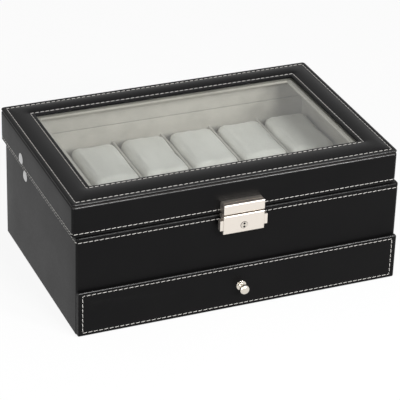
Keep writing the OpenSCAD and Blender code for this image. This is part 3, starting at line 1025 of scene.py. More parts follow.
@dataclass(frozen=True)
class Seam:
    """A row of lockstitches."""

    pitch: float = 4.8 * MM
    dash: float = 3.8 * MM
    width: float = 0.5 * MM
    height: float = 0.5 * MM
    slant: float = 0.16 * MM
    sides: int = 6

    def thread(self, route: Route) -> Shape:
        """All stitches of one route.

        A stitch is a bent bar: at the share s of its length the middle of its section
        stands off the surface by about half the fourth root of 1 - (2 s - 1) to the
        fourth, less a third, times its height, so both ends dive into the leather.

        Args:
            route: The line to sew along.

        Returns:
            The stitches as one shape.
        """
        length = route.travelled[-1]
        count = int(round(length / self.pitch))
        share = np.array([0.0, 0.07, 0.3, 0.7, 0.93, 1.0])
        start = (np.arange(count) + 0.5) * length / count
        along = start[:, None] + (share[None, :] - 0.5) * self.dash
        place, out = route.at(along)
        ahead, _ = route.at(along + 0.2 * MM)
        forward = ahead - place
        forward /= np.linalg.norm(forward, axis=-1, keepdims=True)
        side = np.cross(out, forward)
        bow = (1 - (2 * share - 1) ** 4) ** 0.25
        lift = self.height * (0.55 * bow - 0.32)
        lean = self.slant * (2 * share - 1)
        centre = place + out * lift[None, :, None] + side * lean[None, :, None]
        turn = arc(self.sides, 0, 360)[:-1]
        girth = 0.45 + 0.55 * bow
        around = (
            side[:, :, None, :] * turn[None, None, :, :1] * self.width / 2
            + out[:, :, None, :] * turn[None, None, :, 1:] * self.height / 2
        )
        points = centre[:, :, None, :] + around * girth[None, :, None, None]
        rows = len(share)
        one = tube_faces(rows, self.sides)
        per = rows * self.sides
        faces = [[i + k * per for i in face] for k in range(count) for face in one]
        u = np.tile(share[:, None] * 4, (1, self.sides))
        v = np.tile(np.arange(self.sides)[None, :] / self.sides * 2, (rows, 1))
        plies = np.tile(np.stack([u, v], axis=-1).reshape(-1, 2), (count, 1))
        return Shape(points.reshape(-1, 3), faces, {}, plies)

    def sew(self, name: str, body: Body, *routes: Route) -> bpy.types.Object:
        """Sews one piece of thread along one or more routes."""
        return Shape.joined([self.thread(route) for route in routes]).piece(
            name, body, THREAD
        )


# ---- The case ----


@dataclass
class Case:
    """The covered case with its lined tray."""

    rim: Rim = field(default_factory=lambda: Rim.of("case_cover", 3.0))
    skin_t: float = 0.8
    wall_t: float = 4.2
    lining_t: float = 1.2
    edge_r: float = 1.9
    stitch_drop: float = 4.5
    part_line: float = 0.02
    # Strength of edge wear and painted highlight on the upper edge
    wear_and_highlight: float = 0.55
    valley_deep: float = 0.2
    valley_w: float = 0.7
    front_strip: float = 3.5

    def edge_rings(self, rim: Rim, top: float, up: bool) -> list[Ring]:
        """The round upper or lower edge of a covered wall.

        The edge is a quarter circle of edge_r from the wall's face to its end.

        Args:
            rim: The wall's outline.
            top: Height of the wall's end.
            up: Whether the wall ends at its top.

        Returns:
            Rings from the face to the end.
        """
        steps = 6
        sign = 1 if up else -1
        return [
            rim.ring(
                self.edge_r * (1 - c),
                top - sign * self.edge_r * (1 - s),
                # Edge wear and painted highlight, strongest halfway round the edge
                edge=self.wear_and_highlight * math.sin(math.pi * i / steps),
            )
            for i, (c, s) in enumerate(arc(steps, 0, 90))
        ]

    def wrap(self) -> bpy.types.Object:
        """The leatherette round the case, turned over its upper edge."""
        top, split = top_of("case_cover"), bottom_of("front_panel")
        low = bottom_of("case_cover")
        rim = self.rim
        upper = [
            rim.ring(0, split),
            rim.ring(0, split + 6),
            *valley(rim, top - self.stitch_drop, self.valley_deep, self.valley_w),
            *self.edge_rings(rim, top, up=True),
            rim.ring(self.wall_t - 0.5, top),
            rim.ring(self.wall_t - 0.1, top - 0.25),
            rim.ring(self.wall_t - 0.1, top - self.skin_t),
            rim.ring(self.skin_t, top - 1.6),
            rim.ring(self.skin_t, split),
        ]
        shell = WRAP_LOFT.skin(upper)
        skirt = self.skirt(low, split - self.part_line)
        piece = Shape.joined([shell, skirt]).piece(
            "case_wrap", Body.CASE, LEATHER, "leatherette"
        )
        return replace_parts(piece, "case_cover")

    def skirt(self, low: float, high: float) -> Shape:
        """The covering below the tray, open in front for the drawer.

        The path runs from the front right edge round the back to the front left; its
        section is a plain strip as thick as the covering.

        Args:
            low: Height of the lower edge.
            high: Height of the upper edge.

        Returns:
            The closed strip.
        """
        board = Rim.of("base_panel", 0)
        loop = WRAP_LOFT.outline([self.rim.ring(0, 0), self.rim.ring(self.skin_t, 0)])
        loop = loop[:, :, :2] / MM
        opening = self.rim.half_d - self.front_strip
        keep = loop[0, :, 1] > -opening
        first = np.argmax(keep & ~np.roll(keep, 1))
        order = np.roll(np.arange(loop.shape[1]), -first)
        order = order[keep[order]]
        ends = []
        for row, inset in ((0, 0.0), (1, self.skin_t)):
            depth = self.rim.half_d - inset
            turn = arc(8, 270, 360) * (self.rim.radius - inset)
            corner = turn + [
                self.rim.half_w - self.rim.radius,
                -(self.rim.half_d - self.rim.radius),
            ]
            start = np.array([[board.half_w, -depth]])
            right = np.vstack([start, corner])
            left = (right * [-1, 1])[::-1]
            ends.append(np.vstack([right, loop[row, order], left]))
        section = []
        for path, height in ((ends[0], low), (ends[0], high), (ends[1], high), (ends[1], low)):
            tall = np.full((len(path), 1), height)
            section.append(np.hstack([path, tall]) * MM)
        points = np.stack(section)
        rows, columns = points.shape[:2]
        faces = [list(f) for f in grid_faces(rows, columns, True, False)]
        faces.append([r * columns for r in range(rows)])
        faces.append([r * columns + columns - 1 for r in range(rows)][::-1])
        return Shape(
            points.reshape(-1, 3), faces, {"edge": np.zeros(rows * columns)}
        )

    def tray(self) -> bpy.types.Object:
        """The velvet on the walls and floor of the tray."""
        rim = Rim.of("tray_lining", LEAST_R)
        bottom, top = bottom_of("tray_lining"), top_of("tray_lining")
        t = self.lining_t
        rings = [
            rim.ring(0, bottom),
            rim.ring(0, top - 0.4),
            rim.ring(0.1, top - 0.1),
            rim.ring(0.35, top),
            rim.ring(t - 0.2, top),
            rim.ring(t - 0.04, top - 0.14),
            rim.ring(t, top - 0.4, radius=0.8),
            rim.ring(t, top - 12, radius=1.0),
            *floor_bend(rim, bottom, t),
        ]
        piece = CLOTH_LOFT.skin(rings, closed=False).piece(
            "tray_velvet", Body.CASE, LINING, "velvet_lining"
        )
        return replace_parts(piece, "tray_lining")

    def stitches(self) -> bpy.types.Object:
        """The row of stitches below the case's upper edge."""
        height = top_of("case_cover") - self.stitch_drop
        route = Route.around(self.rim, 0.12, height, flat=False)
        return Seam().sew("case_stitches", Body.CASE, route)

    def build(self) -> None:
        """Makes every piece of the case."""
        self.wrap()
        self.tray()
        self.stitches()


class Run(Enum):
    """Which way a divider runs."""

    ACROSS = 0
    ALONG = 1


@dataclass
class Dividers:
    """Velvet covered boards, halved over each other."""

    thickness: float = 2.4
    play: float = 0.1
    edge_r: float = 0.8
    end_gap: float = 0.02
    count: int = 5

    def board(self, node: str, run: Run, stations: np.ndarray) -> None:
        """One divider, made of upright sections along its run.

        A section is a rectangle whose two upper corners are quarter circles. Its lower
        and upper ends step to half height where another divider crosses.

        Args:
            node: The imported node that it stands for.
            run: Which way it runs.
            stations: Rows of place along the run, lower end and upper end.
        """
        low, high = (np.array(corner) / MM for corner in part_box(node))
        middle = (low + high) / 2
        half = self.thickness / 2
        turn = arc(4, 0, 90)
        right = np.column_stack(
            [half - self.edge_r + self.edge_r * turn[:, 0], turn[:, 1] * self.edge_r]
        )
        left = (right * [-1, 1])[::-1]
        upper = np.vstack([right, left])
        across = np.concatenate([[-half, half], upper[:, 0]])
        rise = np.concatenate([[0.0, 0.0], upper[:, 1] - self.edge_r])
        foot = np.concatenate([[1.0, 1.0], np.zeros(len(upper))])
        place, bottom, top = stations.T[:, :, None]
        height = foot * bottom + (1 - foot) * (top + rise)
        wide = np.broadcast_to(across, height.shape)
        long = np.broadcast_to(place, height.shape)
        if run is Run.ALONG:
            points = np.stack([long, wide + middle[1], height], axis=-1)
        else:
            points = np.stack([wide + middle[0], long, height], axis=-1)
        rows, columns = height.shape
        faces = tube_faces(rows, columns)
        if run is Run.ACROSS:
            faces = [face[::-1] for face in faces]
        shape = Shape(points.reshape(-1, 3) * MM, faces)
        piece = shape.piece(f"{node}_velvet", Body.CASE, DIVIDER, "divider_velvet")
        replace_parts(piece, node)

    def stepped(
        self, node: str, axis: int, cuts: Sequence[float], from_below: bool
    ) -> np.ndarray:
        """Stations of a board with its halving slots.

        Args:
            node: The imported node.
            axis: 0 if it runs along X and 1 along Y.
            cuts: Middles of the slots along the run.
            from_below: Whether the slots open downwards.

        Returns:
            Rows of place, lower end and upper end in millimetres.
        """
        low, high = (np.array(corner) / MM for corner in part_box(node))
        middle = (low[2] + high[2]) / 2
        slot = self.thickness / 2 + self.play
        rows = [(low[axis] + self.end_gap, low[2], high[2])]
        for cut in cuts:
            narrow = (middle, high[2]) if from_below else (low[2], middle)
            rows += [
                (cut - slot, low[2], high[2]),
                (cut - slot, *narrow),
                (cut + slot, *narrow),
                (cut + slot, low[2], high[2]),
            ]
        rows.append((high[axis] - self.end_gap, low[2], high[2]))
        return np.array(rows)

    def build(self) -> None:
        """Makes the long divider and the cross dividers."""
        names = [f"cross_divider_{i + 1}" for i in range(self.count)]
        cuts = [sum(corner.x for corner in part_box(name)) / 2 / MM for name in names]
        self.board("long_divider", Run.ALONG, self.stepped("long_divider", 0, cuts, False))
        for name in names:
            self.board(name, Run.ACROSS, self.stepped(name, 1, [0.0], True))


# ---- Cushions ----


@dataclass(frozen=True)
class Stuffing:
    """One way that a cushion is filled and sewn."""

    pressure: float
    roundness: float
    sway: float


@dataclass
class Cushions:
    """Soft velvet pillows, one in every slot, blown up by a cloth simulation."""

    voxel: float = 3.0 * MM
    frames: int = 20
    cap: float = 1.2 * MM
    edge_r: float = 2.3 * MM
    seam_in: float = 5.2 * MM
    air: float = 0.15 * MM
    blank_share: tuple[float, float, float] = (0.96, 0.97, 0.96)
    fullness: tuple[float, float, float] = (1.0, 1.0, 1.05)
    wave: float = 0.012
    lean: float = 0.02
    seam_w: float = 1.3 * MM
    seam_deep: float = 0.55 * MM
    rows: tuple[str, ...] = ("front", "back")
    slots: int = 6
    stuffings: tuple[Stuffing, ...] = (
        Stuffing(3.6, 1.1, 0.3),
        Stuffing(4.4, 0.9, -0.25),
        Stuffing(4.0, 1.0, 0.1),
    )

    def blank(self, half: np.ndarray, way: Stuffing) -> tuple[np.ndarray, list[list[int]]]:
        """A box with rounded edges and corners before it is filled.

        A point of the unit sphere at the angles a and b is divided by its largest part,
        which puts it on a cube, and scaled to the half sizes.  It is clipped to a box
        that is smaller by the radius and moved out again by the radius, towards the
        unclipped point.

        Args:
            half: Half sizes of the blank in metres.
            way: How it is filled and sewn.

        Returns:
            Points and faces.
        """
        rows, columns, pole = 40, 64, 0.02
        a = np.linspace(pole, math.pi - pole, rows)[:, None]
        b = np.linspace(0, FULL_TURN, columns, endpoint=False)[None, :]
        ball = np.stack(
            np.broadcast_arrays(np.sin(a) * np.cos(b), np.cos(a) + 0 * b, np.sin(a) * np.sin(b)),
            axis=-1,
        )
        radius = self.edge_r * way.roundness
        cube = (ball / np.abs(ball).max(axis=-1, keepdims=True) * half).reshape(-1, 3)
        core = np.clip(cube, radius - half, half - radius)
        out = cube - core
        points = core + radius * out / np.linalg.norm(out, axis=-1, keepdims=True)
        return points, tube_faces(rows, columns)

    def puffed(self, obj: bpy.types.Object, way: Stuffing) -> None:
        """Blows the cushion up as cloth and keeps the result in its mesh.

        Args:
            obj: The cushion's blank.
            way: How hard it is filled.
        """
        scene = bpy.context.scene
        start = np.zeros(len(obj.data.vertices) * 3)
        obj.data.vertices.foreach_get("co", start)
        cloth = obj.modifiers.new("filling", "CLOTH")
        cloth.settings.use_pressure = True
        cloth.settings.uniform_pressure_force = way.pressure
        cloth.settings.quality = 6
        cloth.settings.effector_weights.gravity = 0
        for step in range(1, self.frames + 1):
            scene.frame_set(step)
        depsgraph = bpy.context.evaluated_depsgraph_get()
        full = obj.evaluated_get(depsgraph).data
        moved = np.zeros_like(start)
        full.vertices.foreach_get("co", moved)
        obj.modifiers.remove(cloth)
        scene.frame_set(1)
        move = (moved - start).reshape(-1, 3)
        far = np.linalg.norm(move, axis=1, keepdims=True)
        move *= np.minimum(1, self.cap / np.maximum(far, 1e-9))
        obj.data.vertices.foreach_set("co", (start.reshape(-1, 3) + move).ravel())

    def master(self, number: int, size: np.ndarray, way: Stuffing) -> Shape:
        """One filled cushion about the origin.

        Args:
            number: Number of the cushion, for its name.
            size: Width, length and height that it has to fit.
            way: How it is filled and sewn.

        Returns:
            The cushion's shape, standing on z = 0.
        """
        points, faces = self.blank(size / 2 * self.blank_share, way)
        mesh = bpy.data.meshes.new(f"blank_{number}")
        mesh.from_pydata(points.tolist(), [], faces)
        obj = added(f"blank_{number}", mesh)
        remesh = obj.modifiers.new("even", "REMESH")
        remesh.mode, remesh.voxel_size = "VOXEL", self.voxel
        self.bake(obj)
        self.puffed(obj, way)
        obj.modifiers.new("smooth", "SUBSURF").levels = 1
        self.bake(obj)
        mesh = obj.data
        points = np.zeros(len(mesh.vertices) * 3)
        mesh.vertices.foreach_get("co", points)
        faces = [list(polygon.vertices) for polygon in mesh.polygons]
        bpy.data.objects.remove(obj)
        return self.sewn(points.reshape(-1, 3), faces, size, way)

    @staticmethod
    def bake(obj: bpy.types.Object) -> None:
        """Replaces the object's mesh by what its modifiers make of it."""
        depsgraph = bpy.context.evaluated_depsgraph_get()
        mesh = bpy.data.meshes.new_from_object(obj.evaluated_get(depsgraph))
        obj.modifiers.clear()
        obj.data = mesh

    def sewn(
        self, points: np.ndarray, faces: list[list[int]], size: np.ndarray, way: Stuffing
    ) -> Shape:
        """Fits the filled form to its slot and sews its two end panels on.

        The form is scaled to the slot's box and its underside is pressed flat.  Near the seam,
        at the distance d from it, it is drawn in by exp(-(d / w) squared), and the same value is
        kept as painted shade for the velvet in that crease.

        Args:
            points: Points of the filled form.
            faces: Its faces.
            size: Width, length and height of the slot.
            way: How it is filled and sewn.

        Returns:
            The finished shape.
        """
        low, high = points.min(axis=0), points.max(axis=0)
        scaled = (points - (low + high) / 2) / (high - low)
        scaled[:, 0] += self.wave * way.sway * np.sin(3 * math.pi * scaled[:, 1])
        scaled[:, 2] -= self.lean * way.sway * scaled[:, 0]
        form = scaled * self.fullness * size
        for axis in (0, 2):
            form[:, axis] = np.clip(form[:, axis], -size[axis] / 2, size[axis] / 2)
        seam = size[0] / 2 - self.seam_in
        near = np.exp(-(((np.abs(form[:, 0]) - seam) / self.seam_w) ** 2))
        side = np.abs(scaled[:, 1:]).max(axis=1) / 0.5
        near *= np.clip((side - 0.8) / 0.15, 0, 1)
        inward = form * [0.0, 1.0, 1.0]
        inward /= np.maximum(np.linalg.norm(inward, axis=1, keepdims=True), 1e-6)
        raised = form[:, 2] > -size[2] / 2 + 1e-6
        form -= inward * (near * raised)[:, None] * self.seam_deep
        form[:, 2] += size[2] / 2
        # The seam value paints shade into the velvet along the crease
        return Shape(form, faces, {"seam": near})

    def build(self) -> None:
        """Makes the cushions and puts them in their slots."""
        masters: dict[int, Shape] = {}
        for r, row in enumerate(self.rows):
            for i in range(self.slots):
                node = f"cushion_{row}_{i + 1}"
                low, high = (np.array(corner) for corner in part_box(node))
                size = high - low - 2 * self.air
                kind = (i + 2 * r) % len(self.stuffings)
                if kind not in masters:
                    masters[kind] = self.master(kind, size, self.stuffings[kind])
                master = masters[kind]
                turn = -1.0 if (i + r) % 2 else 1.0
                middle = (low + high) / 2
                base = np.array([middle[0], middle[1], low[2] + self.air])
                points = master.points * [turn, turn, 1.0] + base
                shape = Shape(points, master.faces, master.values)
                piece = shape.piece(
                    f"cushion_{row}_{i + 1}_velvet", Body.CASE, CUSHION, "cushion_velvet"
                )
                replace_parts(piece, node)


# ---- The lid ----


@dataclass
class Lid:
    """The glazed lid with its skirt, padded frame and linings."""

    rim: Rim = field(default_factory=lambda: Rim.of("lid_cover", 3.0))
    skin_t: float = 0.8
    wall_t: float = 4.2
    lining_t: float = 1.2
    edge_r: float = 2.0
    groove_r: float = 1.7
    stitch_rise: float = 3.85
    outer_stitch: float = 4.27
    inner_stitch: float = 3.0
    lap: float = 5.0
    lip_left: float = 0.6
    lip_right: float = 0.2
    sunk: float = 0.75
    crown: float = 1.35
    ledge_side: float = 4.4
    ledge_end: float = 1.1
    rebate_out: float = 5.3
    seat_gap: float = 0.02
    # Edge wear and painted highlight on the skirt's lower and upper edges
    lower_wear_and_highlight: float = 0.15
    upper_wear_and_highlight: tuple[float, ...] = (0.3, 1.0, 0.8, 0.1, 0.0)
    valley_deep: float = 0.18
    valley_w: float = 0.7

    @cached_property
    def window(self) -> Rim:
        """Edge of the window, in from the glass by its lap."""
        glass = Rim.of("lid_glass", 1.5)
        narrow, shift = (
            (self.lip_left + self.lip_right) / 2, (self.lip_left - self.lip_right) / 2
        )
        return Rim(
            glass.half_w - self.lap - narrow,
            glass.half_d - self.lap,
            1.2,
            glass.x + shift,
            glass.y,
        )

    @cached_property
    def inner_seam(self) -> Rim:
        """The line of the inner stitches, with sharp corners."""
        glass = Rim.of("lid_glass", 1.5)
        out = self.inner_stitch - self.lap
        return Rim(glass.half_w + out, glass.half_d + out, 0.8, glass.x, glass.y)

    def wrap(self) -> bpy.types.Object:
        """The leatherette round the lid's skirt, turned in below."""
        low, high = bottom_of("lid_cover"), top_of("lid_cover")
        rim, r, g, steps = self.rim, self.edge_r, self.groove_r, 6
        lower = [
            rim.ring(
                r * (1 - c),
                low + r * (1 - s),
                edge=self.lower_wear_and_highlight * math.sin(math.pi * i / steps),
            )
            for i, (c, s) in enumerate(arc(steps, 90, 0))
        ]
        upper = [
            rim.ring(g * (1 - c), high - g * (1 - s), edge=wear_and_highlight)
            for wear_and_highlight, (c, s) in zip(self.upper_wear_and_highlight, arc(len(self.upper_wear_and_highlight) - 1, 0, 90))
        ]
        rings = [
            rim.ring(self.wall_t - 0.1, low + self.skin_t),
            rim.ring(self.wall_t - 0.1, low + 0.25),
            rim.ring(self.wall_t - 0.5, low),
            *lower,
            *valley(rim, low + self.stitch_rise, self.valley_deep, self.valley_w),
            rim.ring(0, high - 8),
            *upper,
            rim.ring(self.skin_t + 0.12, high - 0.05),
            rim.ring(self.skin_t, low + 1.6),
        ]
        piece = WRAP_LOFT.skin(rings).piece("lid_wrap", Body.LID, LEATHER, "leatherette")
        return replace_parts(piece, "lid_cover")

    def padded_top(self) -> bpy.types.Object:
        """The padded frame round the window.

        Between the two rows of stitches the height follows 4 s (1 - s) at the share s
        of the way across, up to the crown; outside of them the frame falls into a
        round edge, and at the window it turns down to the glass.
        """
        low, high = bottom_of("lid_top_frame"), top_of("lid_top_frame")
        top = high - self.sunk
        rim, window = self.rim, self.window
        # In these tables the third number is edge wear and painted highlight
        edge = rings_of(
            rim,
            (2.0, low),
            (1.3, low + 0.12),
            (0.62, low + 0.5),
            (0.2, low + 0.95),
            (0.0, low + 1.45, 0.2),
            (0.08, low + 1.9, 0.7),
            (0.36, low + 2.3, 1.0),
            (0.8, low + 2.58, 0.9),
            (1.45, low + 2.78, 0.4),
            (2.3, low + 2.85),
            (3.1, low + 2.76, 0.0, 1.2),
            (3.8, top + 0.06, 0.0, 0.8),
            (self.outer_stitch, top - 0.06, 0.0, 0.6),
            (4.8, top + 0.1, 0.0, 1.0),
        )
        lip = rings_of(
            self.inner_seam,
            (-0.6, top + 0.1, 0.0, 0.9),
            (0.0, top - 0.06, 0.0, 0.6),
            (0.6, top + 0.06, 0.0, 0.8),
        ) + rings_of(
            window,
            (-1.1, top + 0.08, 0.0, 1.0),
            (-0.6, top + 0.03, 0.2, 1.1),
            (-0.25, top - 0.14, 0.4, 1.1),
            (-0.06, top - 0.4, 0.3, 1.2),
            (0.0, top - 0.75, 0.0, 1.2),
            (0.0, low, 0.0, 1.2),
        )
        share = np.linspace(0, 1, 13)[1:-1]
        outer, inner = edge[-1], lip[0]
        swell = (self.crown - 0.1) * 4 * share * (1 - share)
        bend = 1.0 + 9.0 * np.sin(math.pi * share)
        middle = [
            Ring(
                outer.half_w + s * (inner.half_w - outer.half_w),
                outer.half_d + s * (inner.half_d - outer.half_d),
                float(b),
                top + 0.1 + float(h),
                0.0,
                outer.x + s * (inner.x - outer.x),
                outer.y + s * (inner.y - outer.y),
            )
            for s, h, b in zip(share, swell, bend)
        ]
        shape = Loft(8, 12, corner_wear_and_highlight=0.0).skin([*edge, *middle, *lip])
        piece = shape.piece("lid_padded_frame", Body.LID, LEATHER, "leatherette")
        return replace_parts(piece, "lid_top_frame")

    def lining(self) -> bpy.types.Object:
        """The velvet on the inside of the lid's skirt."""
        rim = Rim.of("lid_lining", LEAST_R)
        low, high = bottom_of("lid_lining"), top_of("lid_lining")
        t = self.lining_t
        rings = rings_of(
            rim,
            (t, high),
            (t, low + 0.4, 0.0, 0.8),
            (t - 0.04, low + 0.14, 0.0, 0.8),
            (t - 0.2, low),
            (0.45, low),
            (0.12, low + 0.15),
            (0, low + 0.5),
            (0, high),
        )
        shape = CLOTH_LOFT.skin(rings)
        piece = shape.piece("lid_velvet", Body.LID, LINING, "velvet_lining")
        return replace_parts(piece, "lid_lining")

    def window_frame(self) -> bpy.types.Object:
        """The velvet covered frame under the glass, with its rebate."""
        rim = Rim.of("lid_window_frame", LEAST_R)
        low, high = bottom_of("lid_window_frame"), top_of("lid_window_frame")
        seat, window = bottom_of("lid_glass"), self.window
        well = Rim(
            window.half_w - self.ledge_side,
            window.half_d - self.ledge_end,
            1.5,
            window.x,
            window.y,
        )
        seat_top, rebate = seat - self.seat_gap, -self.rebate_out
        rings = [
            *rings_of(rim, (0, low), (0, high)),
            *rings_of(window, (rebate, high, 0.0, 1.8), (rebate, seat_top, 0.0, 1.8)),
            *rings_of(
                well,
                (-0.7, seat_top, 0.0, 1.5),
                (-0.2, seat - 0.2, 0.0, 1.5),
                (0.0, seat - 0.6, 0.0, 1.5),
                (0.0, low + 0.8, 0.0, 1.5),
                (-0.25, low + 0.25, 0.0, 1.6),
                (-0.8, low, 0.0, 1.8),
            ),
        ]
        shape = CLOTH_LOFT.skin(rings)
        piece = shape.piece("window_velvet", Body.LID, LINING, "velvet_lining")
        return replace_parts(piece, "lid_window_frame")

    def stitches(self) -> None:
        """The rows of stitches on the lid's top and skirt."""
        level = top_of("lid_top_frame") - self.sunk + 0.02
        sharp = Rim(self.rim.half_w, self.rim.half_d, 5.0, self.rim.x, self.rim.y)
        outer = Route.around(sharp, self.outer_stitch, level, flat=True)
        inner = Route.around(self.inner_seam, 0.0, level, flat=True)
        Seam().sew("lid_top_stitches", Body.LID, outer, inner)
        height = bottom_of("lid_cover") + self.stitch_rise
        Seam().sew(
            "lid_skirt_stitches",
            Body.LID,
            Route.around(self.rim, 0.1, height, flat=False),
        )

    def build(self) -> None:
        """Makes every piece of the lid."""
        self.wrap()
        self.padded_top()
        self.lining()
        self.window_frame()
        self.stitches()


# ---- The drawer ----


def stood_up(shape: Shape, face_y: float, middle_z: float) -> Shape:
    """Turns a shape that lies on its back so that it faces the front.

    Its X stays, its Y becomes Z about the given middle, and its height goes forwards
    from the given plane.

    Args:
        shape: The lying shape.
        face_y: Place of height 0, in metres.
        middle_z: Height of the shape's middle, in metres.

    Returns:
        The standing shape.
    """
    x, y, z = shape.points.T
    points = np.stack([x, face_y - z, middle_z + y], axis=1)
    return Shape(points, shape.faces, shape.values, shape.plies)


def spun(profile: np.ndarray, place: Sequence[float], looped: bool = False) -> Shape:
    """A profile turned about an axis that points to the front.

    At the angle a, a profile point goes its radius times the cosine of a along X, its
    second number to the front, and its radius times the sine of a up.

    Args:
        profile: Rows of radius and distance to the front, in millimetres.
        place: Where the axis starts, in metres.
        looped: Whether the profile closes on itself; its ends are capped if not.

    Returns:
        The turned shape.
    """
    spin = arc(40, 0, 360)[:-1]
    x = profile[:, :1] * spin[None, :, 0]
    z = profile[:, :1] * spin[None, :, 1]
    y = np.broadcast_to(-profile[:, 1:], x.shape)
    rows, columns = x.shape
    points = np.stack([x, y, z], axis=-1).reshape(-1, 3) * MM + np.array(place)
    return Shape(points, tube_faces(rows, columns, looped))


@dataclass
class Drawer:
    """The drawer's covered front, lining and knob."""

    skin_t: float = 0.8
    lining_t: float = 1.2
    corner_r: float = 1.5
    edge_r: float = 1.0
    stitch_side: float = 4.41
    stitch_end: float = 3.14
    collar_r: float = 4.6
    knob_head: float = 4.55
    stitch_in: float = 3.6
    valley_w: float = 0.7
    valley_deep: float = 0.26
    thread_sunk: float = 0.24

    def __post_init__(self) -> None:
        """Reads the front's place from the frame."""
        low, high = (np.array(corner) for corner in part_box("drawer_front_cover"))
        self.half = (high - low) / 2 / MM
        self.back_y = float(high[1])
        self.deep = float(high[1] - low[1]) / MM
        self.middle_z = float(low[2] + high[2]) / 2

    def ring(self, inset: float, height: float, edge: float = 0.0, sew: float = 0.0) -> Ring:
        """A ring of the lying front.

        Args:
            inset: Distance from the front's outline.
            height: Distance from the front's back.
            edge: How much edge wear and painted highlight the surface gets there.
            sew: Share of the way from the outline to the row of stitches, added.

        Returns:
            The ring.
        """
        return Ring(
            self.half[0] - inset - sew * self.stitch_side,
            self.half[2] - inset - sew * self.stitch_end,
            max(self.corner_r - inset - 0.8 * sew * self.corner_r, LEAST_R),
            height,
            edge,
        )

    def wrap(self) -> bpy.types.Object:
        """The leatherette over the drawer's front, with a row of stitches."""
        r, deep = self.edge_r, self.deep
        # Edge wear and painted highlight round the front's edge
        round_edge = [
            self.ring(r * (1 - c), deep - r * (1 - s), math.sin(math.pi * i / 6) ** 0.5)
            for i, (c, s) in enumerate(arc(6, 0, 90))
        ]
        away = np.linspace(0.45, 1.6, 9)[1:]
        fade = 1 / (1 + ((away - 1) * self.stitch_in / self.valley_w) ** 2)
        hollow = [
            self.ring(0.0, deep - self.valley_deep * float(f), sew=float(a))
            for a, f in zip(away, fade)
        ]
        rings = [
            self.ring(0, 0),
            *round_edge,
            *hollow,
            self.ring(4.0, deep, sew=1.5),
        ]
        back = [
            self.ring(2.0, deep - self.skin_t),
            self.ring(self.skin_t, deep - self.skin_t),
            self.ring(self.skin_t, 0),
        ]
        # Share of edge wear and painted highlight on each side
        loft = Loft(6, 12, wear_and_highlight_sides=(1.0, 0.7, 0.7, 0.7))
        shape = loft.skin([*back, *rings], closed=False)
        piece = stood_up(shape, self.back_y, self.middle_z).piece(
            "drawer_wrap", Body.DRAWER, LEATHER, "leatherette"
        )
        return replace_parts(piece, "drawer_front_cover")

    def lining(self) -> bpy.types.Object:
        """The velvet on the drawer's floor and walls."""
        rim = Rim.of("drawer_lining", LEAST_R)
        low, high = bottom_of("drawer_lining"), top_of("drawer_lining")
        t = self.lining_t
        rings = [
            rim.ring(0, low),
            rim.ring(0, high - 0.4),
            rim.ring(0.12, high - 0.1),
            rim.ring(0.4, high),
            rim.ring(t - 0.35, high - 0.03),
            rim.ring(t - 0.05, high - 0.3),
            rim.ring(t, high - 0.9, radius=0.8),
            *floor_bend(rim, low, t),
        ]
        shape = CLOTH_LOFT.skin(rings, closed=False)
        piece = shape.piece("drawer_velvet", Body.DRAWER, LINING, "velvet_lining")
        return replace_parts(piece, "drawer_lining")

    def stitches(self) -> bpy.types.Object:
        """The row of stitches round the drawer's front."""
        rim = Rim(
            self.half[0] - self.stitch_side, self.half[2] - self.stitch_end, 0.5
        )
        route = Route.around(rim, 0.0, self.deep - self.thread_sunk, flat=True)
        thread = stood_up(Seam().thread(route), self.back_y, self.middle_z)
        return thread.piece("drawer_stitches", Body.DRAWER, THREAD)

    def knob(self) -> bpy.types.Object:
        """The turned knob: collar, neck and mushroom head.

        The head's profile at the share s from its neck to its tip has the radius of
        an ellipse, drawn a little fuller towards the neck.
        """
        low, high = (np.array(corner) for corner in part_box("drawer_knob"))
        middle = (low + high) / 2
        length = float(high[1] - low[1]) / MM
        head_half = 3.0
        centre = length - head_half
        turn = np.radians(np.linspace(-62, 90, 18))
        head = np.column_stack(
            [self.knob_head * np.cos(turn) ** 0.85, centre + head_half * np.sin(turn)]
        )
        rim = self.collar_r
        stem = [
            [0.0, 0.0], [rim - 0.25, 0.0], [rim - 0.03, 0.12], [rim, 0.35],
            [rim, 0.75], [rim - 0.15, 1.02], [rim - 0.45, 1.1], [3.2, 1.16],
            [2.5, 1.4], [2.3, 1.9], [2.28, 2.8], [2.26, 3.6], [2.3, 4.3],
            [2.34, float(head[0, 1]) - 0.1],
        ]
        profile = np.vstack([stem, head])
        profile[:, 0] = np.maximum(profile[:, 0], 0.12)
        shape = spun(profile, (middle[0], high[1], middle[2]))
        piece = shape.piece("knob_nickel", Body.DRAWER, MIRROR, "polished_nickel")
        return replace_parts(piece, "drawer_knob")

    def build(self) -> None:
        """Makes every piece of the drawer."""
        self.wrap()
        self.lining()
        self.stitches()
        self.knob()


# ---- Hinge screws ----


